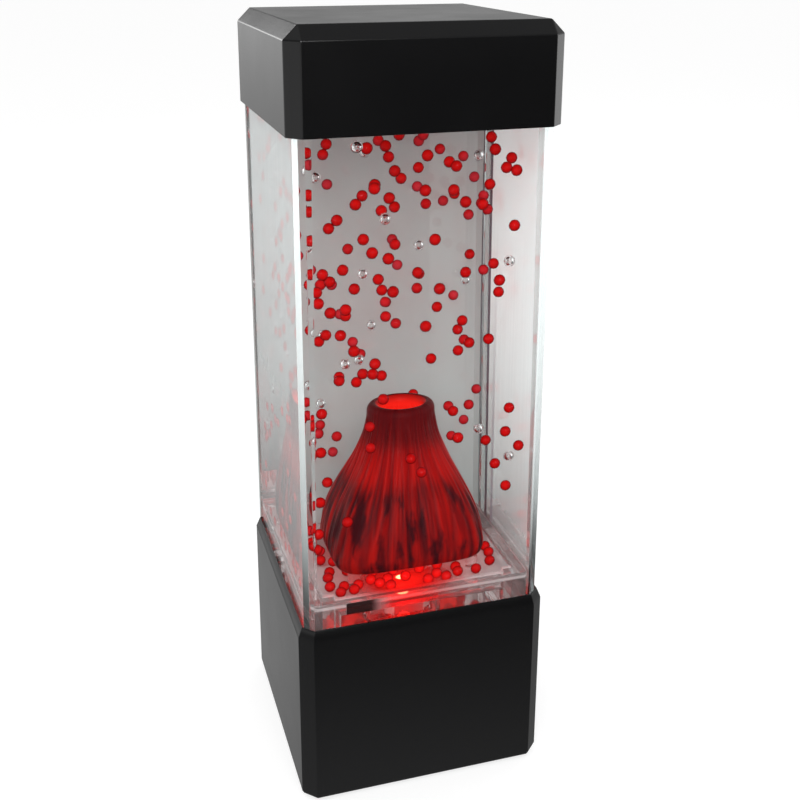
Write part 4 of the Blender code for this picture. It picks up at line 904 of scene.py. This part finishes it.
class Water:
    """Chooses places for beads, which touch neither each other nor what is in the water."""

    def __init__(self, beads, volcano, tank, taken):
        self.random = random.Random(beads.seed)
        self.radius = beads.radius
        self.volcano = volcano
        self.taken = list(taken)
        self.reach = WATER_HALF - beads.radius - BEAD_GAP
        self.corner_reach = 2 * WATER_HALF - tank.inner_corner - 1.5 * beads.radius

    def choose(self, count, propose, allowed):
        """Up to count places that propose offers and allowed lets through."""
        chosen = []
        apart = self.radius * 2 + BEAD_GAP
        for _ in range(count * TRIES):
            place = Vector(propose())
            free = all((place - other).length > apart for other in self.taken)
            if free and allowed(place):
                chosen.append(place)
                self.taken.append(place)
            if len(chosen) == count:
                break
        return chosen

    def even(self, half):
        """From -half to half."""
        return self.random.uniform(-half, half)

    def leaning(self, half, power):
        """From -half to half, and the oftener near -half the higher the power is."""
        return -half + 2 * half * self.random.random() ** power

    def rising(self):
        """In the jet, which opens out from the crater to the surface, and more of them high up."""
        share = self.random.random() ** 0.72
        spread = min(self.reach, JET_HALF + JET_GROWTH * share)
        height = VOLCANO_HIGH.z + JET_START + share * (WATER_TOP - VOLCANO_HIGH.z)
        return (self.even(spread), self.even(spread), height)

    def falling(self):
        """Beside the volcano, more of them at the left."""
        height = VOLCANO_LOW.z + FALL_END + VOLCANO_HEIGHT * self.random.random() ** 0.8
        return (self.leaning(self.reach, 1.5), self.even(self.reach), height)

    def anywhere(self):
        """Anywhere in the water, apart from its lowest part."""
        across, back = self.even(self.reach), self.even(self.reach)
        return (across, back, self.random.uniform(VOLCANO_LOW.z + CLEAR_START, WATER_TOP))

    def resting(self):
        """On the tray, more of them at the front."""
        width = TRAY_INSIDE - self.radius
        return (self.even(width), self.leaning(width, 1.7), TRAY_TOP + BEAD_GAP + self.radius)

    def flank(self, height):
        """Half width of the volcano at a height, over the corners."""
        share = min(1.0, max(0.0, (height - VOLCANO_LOW.z) / VOLCANO_HEIGHT))
        crater = self.volcano.crater_radius
        bell = (1 + math.cos(math.pi * share**FLANK_BEND)) / 2
        return crater + (self.volcano.foot_width / 2 - crater) * bell

    def in_water(self, place):
        """Inside the tank's walls and outside the volcano."""
        x, y = abs(place.x), abs(place.y)
        inside = max(x, y) < self.reach and x + y < self.corner_reach
        beside = max(x, y) > self.flank(place.z) + FLANK_GAP
        return inside and (beside or place.z > VOLCANO_HIGH.z + CRATER_GAP)

    def on_tray(self, place):
        """Clear of the tray's corner blocks and of the volcano's posts."""
        x, y = abs(place.x), abs(place.y)
        off_blocks = min(x, y) < BLOCK_INSIDE - self.radius - BEAD_GAP
        post = math.hypot(x - POST_PLACE, y - POST_PLACE)
        return off_blocks and post > POST_RADIUS + self.radius + BEAD_GAP


class LAMP_OT_mouldings(Operator):
    """Cap, base housing, bottom cover and battery door in glossy black"""

    bl_idname = "lamp.mouldings"
    bl_label = "Black Mouldings"

    def execute(self, context):
        settings = context.scene.lamp_plastic
        black = black_plastic(settings)
        bodies = {
            "cap": "lid",
            "base_housing": "lamp",
            "bottom_cover": "lamp",
            "battery_door": "door",
        }
        for node, body in bodies.items():
            obj = show(f"{node}_moulding", welded(node, f"{node}_moulding"), black)
            soften(obj, settings.edge)
            keep(obj, body, "black_plastic", node)
        paint(black, "switch_slider", "dc_jack")
        return {"FINISHED"}


class LAMP_OT_tank(Operator):
    """Clear tank whose faces bend light between air, acrylic and water, and the film behind it"""

    bl_idname = "lamp.tank"
    bl_label = "Tank and Film"

    def execute(self, context):
        settings = context.scene.lamp_tank
        mesh = welded("tank", "tank_walls")
        self.widen_corners(mesh, settings.inner_corner)
        outside = clear("acrylic_outside", ACRYLIC_IN_AIR)
        inside = clear("acrylic_inside", ACRYLIC_IN_WATER)
        tank = show("tank_walls", mesh, outside, inside, tank_side(settings))
        for face in mesh.polygons:
            face.material_index = self.finish_of(face)
        soften(tank, settings.edge, 2)
        keep(tank, "lamp", "clear_acrylic", "tank")
        paint(grey_film(settings), "back_film")
        return {"FINISHED"}

    def finish_of(self, face):
        """0 outside, 1 inside, and 2 inside on the left and right walls."""
        x, y, z = face.center
        within = max(abs(x), abs(y)) < WATER_HALF + TANK_WALL / 2
        if not within or z <= TANK_LOW.z + TANK_WALL / 2:
            return 0
        side = abs(face.normal.x) > 0.99 and abs(x) > WATER_HALF - ON_FACE
        return 2 if side else 1

    def widen_corners(self, mesh, width):
        """Let the facets in the tank's inner corners grow wider towards the rim."""
        middle = (TANK_LOW.z + TANK_HIGH.z) / 2
        for vert in mesh.vertices:
            x, y, z = vert.co
            if z > middle and abs(max(abs(x), abs(y)) - WATER_HALF) < ON_FACE:
                if abs(x) < abs(y):
                    vert.co.x = math.copysign(WATER_HALF - width, x)
                else:
                    vert.co.y = math.copysign(WATER_HALF - width, y)


class LAMP_OT_tray(Operator):
    """Clear tray with its corner blocks, and the grille over the pump"""

    bl_idname = "lamp.tray"
    bl_label = "Tray and Grille"

    def execute(self, context):
        milky = tray_clear(context.scene.lamp_light)
        for node in ("tray", "jet_grille"):
            obj = show(f"{node}_clear", welded(node, f"{node}_clear"), milky)
            soften(obj, context.scene.lamp_tank.edge, 1)
            keep(obj, "lamp", "clear_acrylic", node)
        return {"FINISHED"}


class LAMP_OT_volcano(Operator):
    """Hollow fluted volcano, red, lit from below by the base lights and by a painted glow"""

    bl_idname = "lamp.volcano"
    bl_label = "Volcano"

    def execute(self, context):
        settings = context.scene.lamp_volcano
        volcano = grow(
            "volcano_shell",
            bpy.data.meshes.new("volcano_shell"),
            volcano_tree(),
            sides=settings.sides + 1,
            rings=settings.rings + 1,
            foot_half=settings.foot_width / 2,
            crater_radius=settings.crater_radius,
            low=VOLCANO_LOW.z,
            height=VOLCANO_HEIGHT,
            lip=settings.lip,
            wall=settings.wall,
            flute=settings.flute,
            rill=settings.rill,
            inside=volcano_inside(),
            material=volcano_outside(settings),
        )
        outward(volcano.data)
        keep(volcano, "lamp", "red_shell", "volcano")
        return {"FINISHED"}


class LAMP_OT_beads(Operator):
    """Beads that rise over the crater, fall beside the volcano and rest on the tray"""

    bl_idname = "lamp.beads"
    bl_label = "Beads"

    def execute(self, context):
        beads = context.scene.lamp_beads
        red = red_bead(beads)
        tree = bead_tree()
        fixed = numbered("bead", 7)
        fixed_places = [sum(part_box(name), Vector()) / 2 for name in fixed]
        water = Water(beads, context.scene.lamp_volcano, context.scene.lamp_tank, fixed_places)
        groups = (
            ("resting_beads", beads.resting, water.resting, water.on_tray),
            ("rising_beads", beads.rising, water.rising, water.in_water),
            ("falling_beads", beads.falling, water.falling, water.in_water),
        )
        for name, count, propose, allowed in groups:
            points = points_mesh(name, water.choose(count, propose, allowed))
            obj = grow(name, points, tree, radius=beads.radius, material=red)
            keep(obj, "lamp", "red_bead")
        for name, place in zip(fixed, fixed_places):
            points = points_mesh(name, [place])
            obj = grow(f"{name}_resin", points, tree, radius=beads.radius, material=red)
            keep(obj, "lamp", "red_bead", name)
        places = water.choose(beads.clear, water.anywhere, water.in_water)
        skins = (
            ("clear_beads", beads.radius, ACRYLIC_IN_WATER, False),
            ("clear_bead_hollows", beads.hollow, ACRYLIC_IN_AIR, True),
        )
        for name, radius, ior, turned in skins:
            resin = clear(f"{name}_resin", ior, BEAD_TINT, CLEAR_SHADOW)
            obj = grow(name, points_mesh(name, places), tree, radius=radius, material=resin)
            outward(obj.data, turned)
            keep(obj, "lamp", "clear_acrylic")
        return {"FINISHED"}


class LAMP_OT_drive(Operator):
    """Impeller, magnets, motor and their fastenings"""

    bl_idname = "lamp.drive"
    bl_label = "Drive"

    def execute(self, context):
        # Painted light: the pale drive parts carry a red glow near the front LED
        pale_painted_glow = moulded("natural_plastic", (0.46, 0.44, 0.43), 0.42, red=0.45)
        paint(pale_painted_glow, "impeller", "drive_disc", "motor_bracket", "motor_end_cap")
        steel = metal("zinc_steel", (0.52, 0.52, 0.53), 0.32)
        paint(steel, "motor_can", "motor_shaft", "impeller_pin", "switch_body")
        paint(steel, "battery_door_screw", *numbered("cover_screw", 4))
        nickel = metal("nickel_plate", (0.50, 0.49, 0.47), 0.22)
        paint(nickel, *numbered("impeller_magnet", 2), *numbered("drive_magnet", 2))
        return {"FINISHED"}


class LAMP_OT_electrics(Operator):
    """Boards, lights, cells, contacts and leads"""

    bl_idname = "lamp.electrics"
    bl_label = "Electrics"

    def execute(self, context):
        # Painted light and shade: the mask is darker and pinker than white solder mask, for the shade
        # and red light inside the base, with a red glow near the front LED
        pale_painted_glow = circuit_board("white_solder_mask", (0.44, 0.41, 0.41), (0.34, 0.31, 0.31), 0.55)
        paint(pale_painted_glow, "led_board")
        green = circuit_board("green_solder_mask", (0.012, 0.10, 0.04), (0.05, 0.24, 0.09))
        paint(green, "control_board")
        paint(lit_lens(context.scene.lamp_light), *numbered("led", 4))
        paint(cell_sleeve(), *numbered("battery", 3))
        spring = metal("bright_nickel", (0.66, 0.63, 0.58), 0.24, (0.05, 1.0, 1.0))
        paint(spring, *numbered("battery_spring", 3))
        paint(spring, "contact_tab_left", "contact_tab_right")
        paint(spring, "contact_bridge_left", "contact_bridge_right")
        red = moulded("red_insulation", (0.42, 0.015, 0.015), 0.45)
        paint(red, "motor_lead", "battery_lead_plus", "led_lead")
        paint(moulded("black_insulation", (0.012, 0.012, 0.012), 0.45), "battery_lead_minus")
        return {"FINISHED"}


class LAMP_OT_rubber(Operator):
    """Feet and the gasket under the cap"""

    bl_idname = "lamp.rubber"
    bl_label = "Rubber Pieces"

    def execute(self, context):
        rubber = moulded("black_rubber", (0.022, 0.022, 0.022), 0.75, 1100.0, 0.00004)
        paint(rubber, *numbered("foot", 4))
        paint(moulded("silicone", (0.55, 0.55, 0.53), 0.5), "lid_gasket")
        return {"FINISHED"}


class LAMP_OT_stage(Operator):
    """Pale floor, even room, softboxes, the lights in the base and the camera"""

    bl_idname = "lamp.stage"
    bl_label = "Stage"

    def execute(self, context):
        light = context.scene.lamp_light
        self.floor()
        self.room(context, light)
        self.softboxes(light)
        self.base_lights(light)
        self.camera(context)
        context.scene.view_settings.view_transform = "Standard"
        context.scene.cycles.max_bounces = WALLS_SEEN_THROUGH
        context.scene.cycles.transmission_bounces = WALLS_SEEN_THROUGH
        return {"FINISHED"}

    def floor(self):
        """Pale floor that looks as white as the room and keeps the lamp's shadow.

        The lamp's gloss mirrors it bright behind and beside the lamp, and dim in front.
        """
        bm = bmesh.new()
        bmesh.ops.create_circle(bm, cap_ends=True, segments=96, radius=6.0)
        mesh = bpy.data.meshes.new("floor")
        bm.to_mesh(mesh)
        bm.free()
        finish = Finish("pale_floor", FLOOR_GREY, 0.9)
        x, y, _ = finish.place().parts()
        mirrored = rays(finish.tree, "Glossy")[0]
        behind = y.between(-0.25, 0.10)
        sides = x.between(0.2, 0.9) * 0.80 + x.between(0.15, -0.05) * 0.12 + 0.26
        level = behind * sides + x.between(-0.2, -0.9) * 0.54 + 0.02
        own_light = 0.64
        finish.set("Base Color", finish.mix(mirrored, FLOOR_GREY, BLACK))
        finish.glow(WHITE, mirrored * (level - own_light) + own_light)
        floor = show("floor", mesh, finish.material)

    def room(self, context, light):
        """White wherever it is seen, a graded backdrop in gloss, and level light elsewhere."""
        world = bpy.data.worlds.new("room")
        context.scene.world = world
        world.use_nodes = True
        tree = world.node_tree
        camera, through, mirrored = rays(tree, "Camera", "Transmission", "Glossy")
        seen = camera.at_least(through)
        coordinates = tree.nodes.new("ShaderNodeTexCoord")
        x, y, z = Field(tree, coordinates.outputs["Generated"]).parts()
        behind = y.between(-1.0, -0.1) * (z.between(0.25, -0.05) * 0.36 + 0.16)
        backdrop = behind + x.between(-0.4, 1.0) * 0.1 + 0.04
        lit = mirrored * (backdrop - light.room) + light.room
        background = tree.nodes["Background"]
        feed(tree, background.inputs["Color"], WHITE)
        feed(tree, background.inputs["Strength"], seen + seen.inverted() * lit)

    def softboxes(self, light):
        """Large soft lights, each with its place, its width and how bright it is."""
        middle = Vector((0.0, 0.0, LAMP_HEIGHT / 2))
        boxes = (
            ("left_softbox", (-0.55, 1.25, 0.62), 0.7, 2.0),
            ("right_softbox", (1.3, -0.1, 0.5), 0.8, 1.0),
            ("top_softbox", (-0.5, -0.1, 1.6), 1.2, 0.20),
            ("front_fill", (-0.30, -1.35, 0.9), 1.1, 3.7),
        )
        for name, place, width, brightness in boxes:
            lamp = bpy.data.lights.new(name, "AREA")
            lamp.size = width
            lamp.energy = light.softbox * brightness * math.pi * width**2
            obj = show(name, lamp)
            obj.location = place
            obj.rotation_euler = (middle - Vector(place)).to_track_quat("-Z", "Y").to_euler()

    def base_lights(self, light):
        """The light that the four LEDs throw into the water, from just over the tank's floor."""
        for number, node in enumerate(numbered("led", 4), 1):
            low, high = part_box(node)
            lamp = bpy.data.lights.new(f"led_light_{number}", "POINT")
            lamp.color = light.led_colour
            lamp.energy = light.led_power * (1.0 if number == 1 else light.led_rest)
            lamp.shadow_soft_size = (high.x - low.x) / 2
            obj = show(f"led_light_{number}", lamp)
            obj.location = ((low.x + high.x) / 2, (low.y + high.y) / 2, TRAY_LOW.z + TANK_WALL)
            obj.visible_camera = False
            obj.visible_transmission = False

    def camera(self, context):
        """The camera of the photograph."""
        data = bpy.data.cameras.new("photo_camera")
        data.sensor_width = SENSOR_WIDTH
        data.lens = PHOTO_FOCAL / PHOTO_WIDTH * SENSOR_WIDTH
        data.shift_x = (PHOTO_WIDTH / 2 - PHOTO_CENTRE[0]) / PHOTO_WIDTH
        data.shift_y = (PHOTO_CENTRE[1] - PHOTO_WIDTH / 2) / PHOTO_WIDTH
        data.clip_start = 0.01
        data.clip_end = 50.0
        back = Vector((
            math.sin(CAMERA_TURN) * math.cos(CAMERA_RISE),
            -math.cos(CAMERA_TURN) * math.cos(CAMERA_RISE),
            math.sin(CAMERA_RISE),
        ))
        obj = show("photo_camera", data)
        obj.rotation_mode = "QUATERNION"
        obj.location = CAMERA_TARGET + back * CAMERA_DISTANCE
        obj.rotation_quaternion = (-back).to_track_quat("-Z", "Y")
        context.scene.camera = obj


OPERATORS = (
    LAMP_OT_mouldings,
    LAMP_OT_tank,
    LAMP_OT_tray,
    LAMP_OT_volcano,
    LAMP_OT_beads,
    LAMP_OT_drive,
    LAMP_OT_electrics,
    LAMP_OT_rubber,
    LAMP_OT_stage,
)


class LAMP_PT_panel(Panel):
    """Sizes and colours of the lamp, and one button for each group of its pieces"""

    bl_idname = "LAMP_PT_panel"
    bl_label = "Volcano Motion Lamp"
    bl_space_type = "VIEW_3D"
    bl_region_type = "UI"
    bl_category = "Motion Lamp"

    def draw(self, context):
        for name in SETTINGS:
            box = self.layout.box()
            group = getattr(context.scene, name)
            for field in group.__annotations__:
                box.prop(group, field)
        for operator in OPERATORS:
            self.layout.operator(operator.bl_idname)


CLASSES = (*SETTINGS.values(), *OPERATORS, LAMP_PT_panel)


def register():
    for cls in CLASSES:
        bpy.utils.register_class(cls)
    for name, group in SETTINGS.items():
        setattr(bpy.types.Scene, name, PointerProperty(type=group))


def unregister():
    for name in SETTINGS:
        delattr(bpy.types.Scene, name)
    for cls in reversed(CLASSES):
        bpy.utils.unregister_class(cls)


def main():
    """Build the lamp and its stage."""
    register()
    bpy.ops.lamp.mouldings()
    bpy.ops.lamp.tank()
    bpy.ops.lamp.tray()
    bpy.ops.lamp.volcano()
    bpy.ops.lamp.beads()
    bpy.ops.lamp.drive()
    bpy.ops.lamp.electrics()
    bpy.ops.lamp.rubber()
    bpy.ops.lamp.stage()


if __name__ == "__main__":
    main()
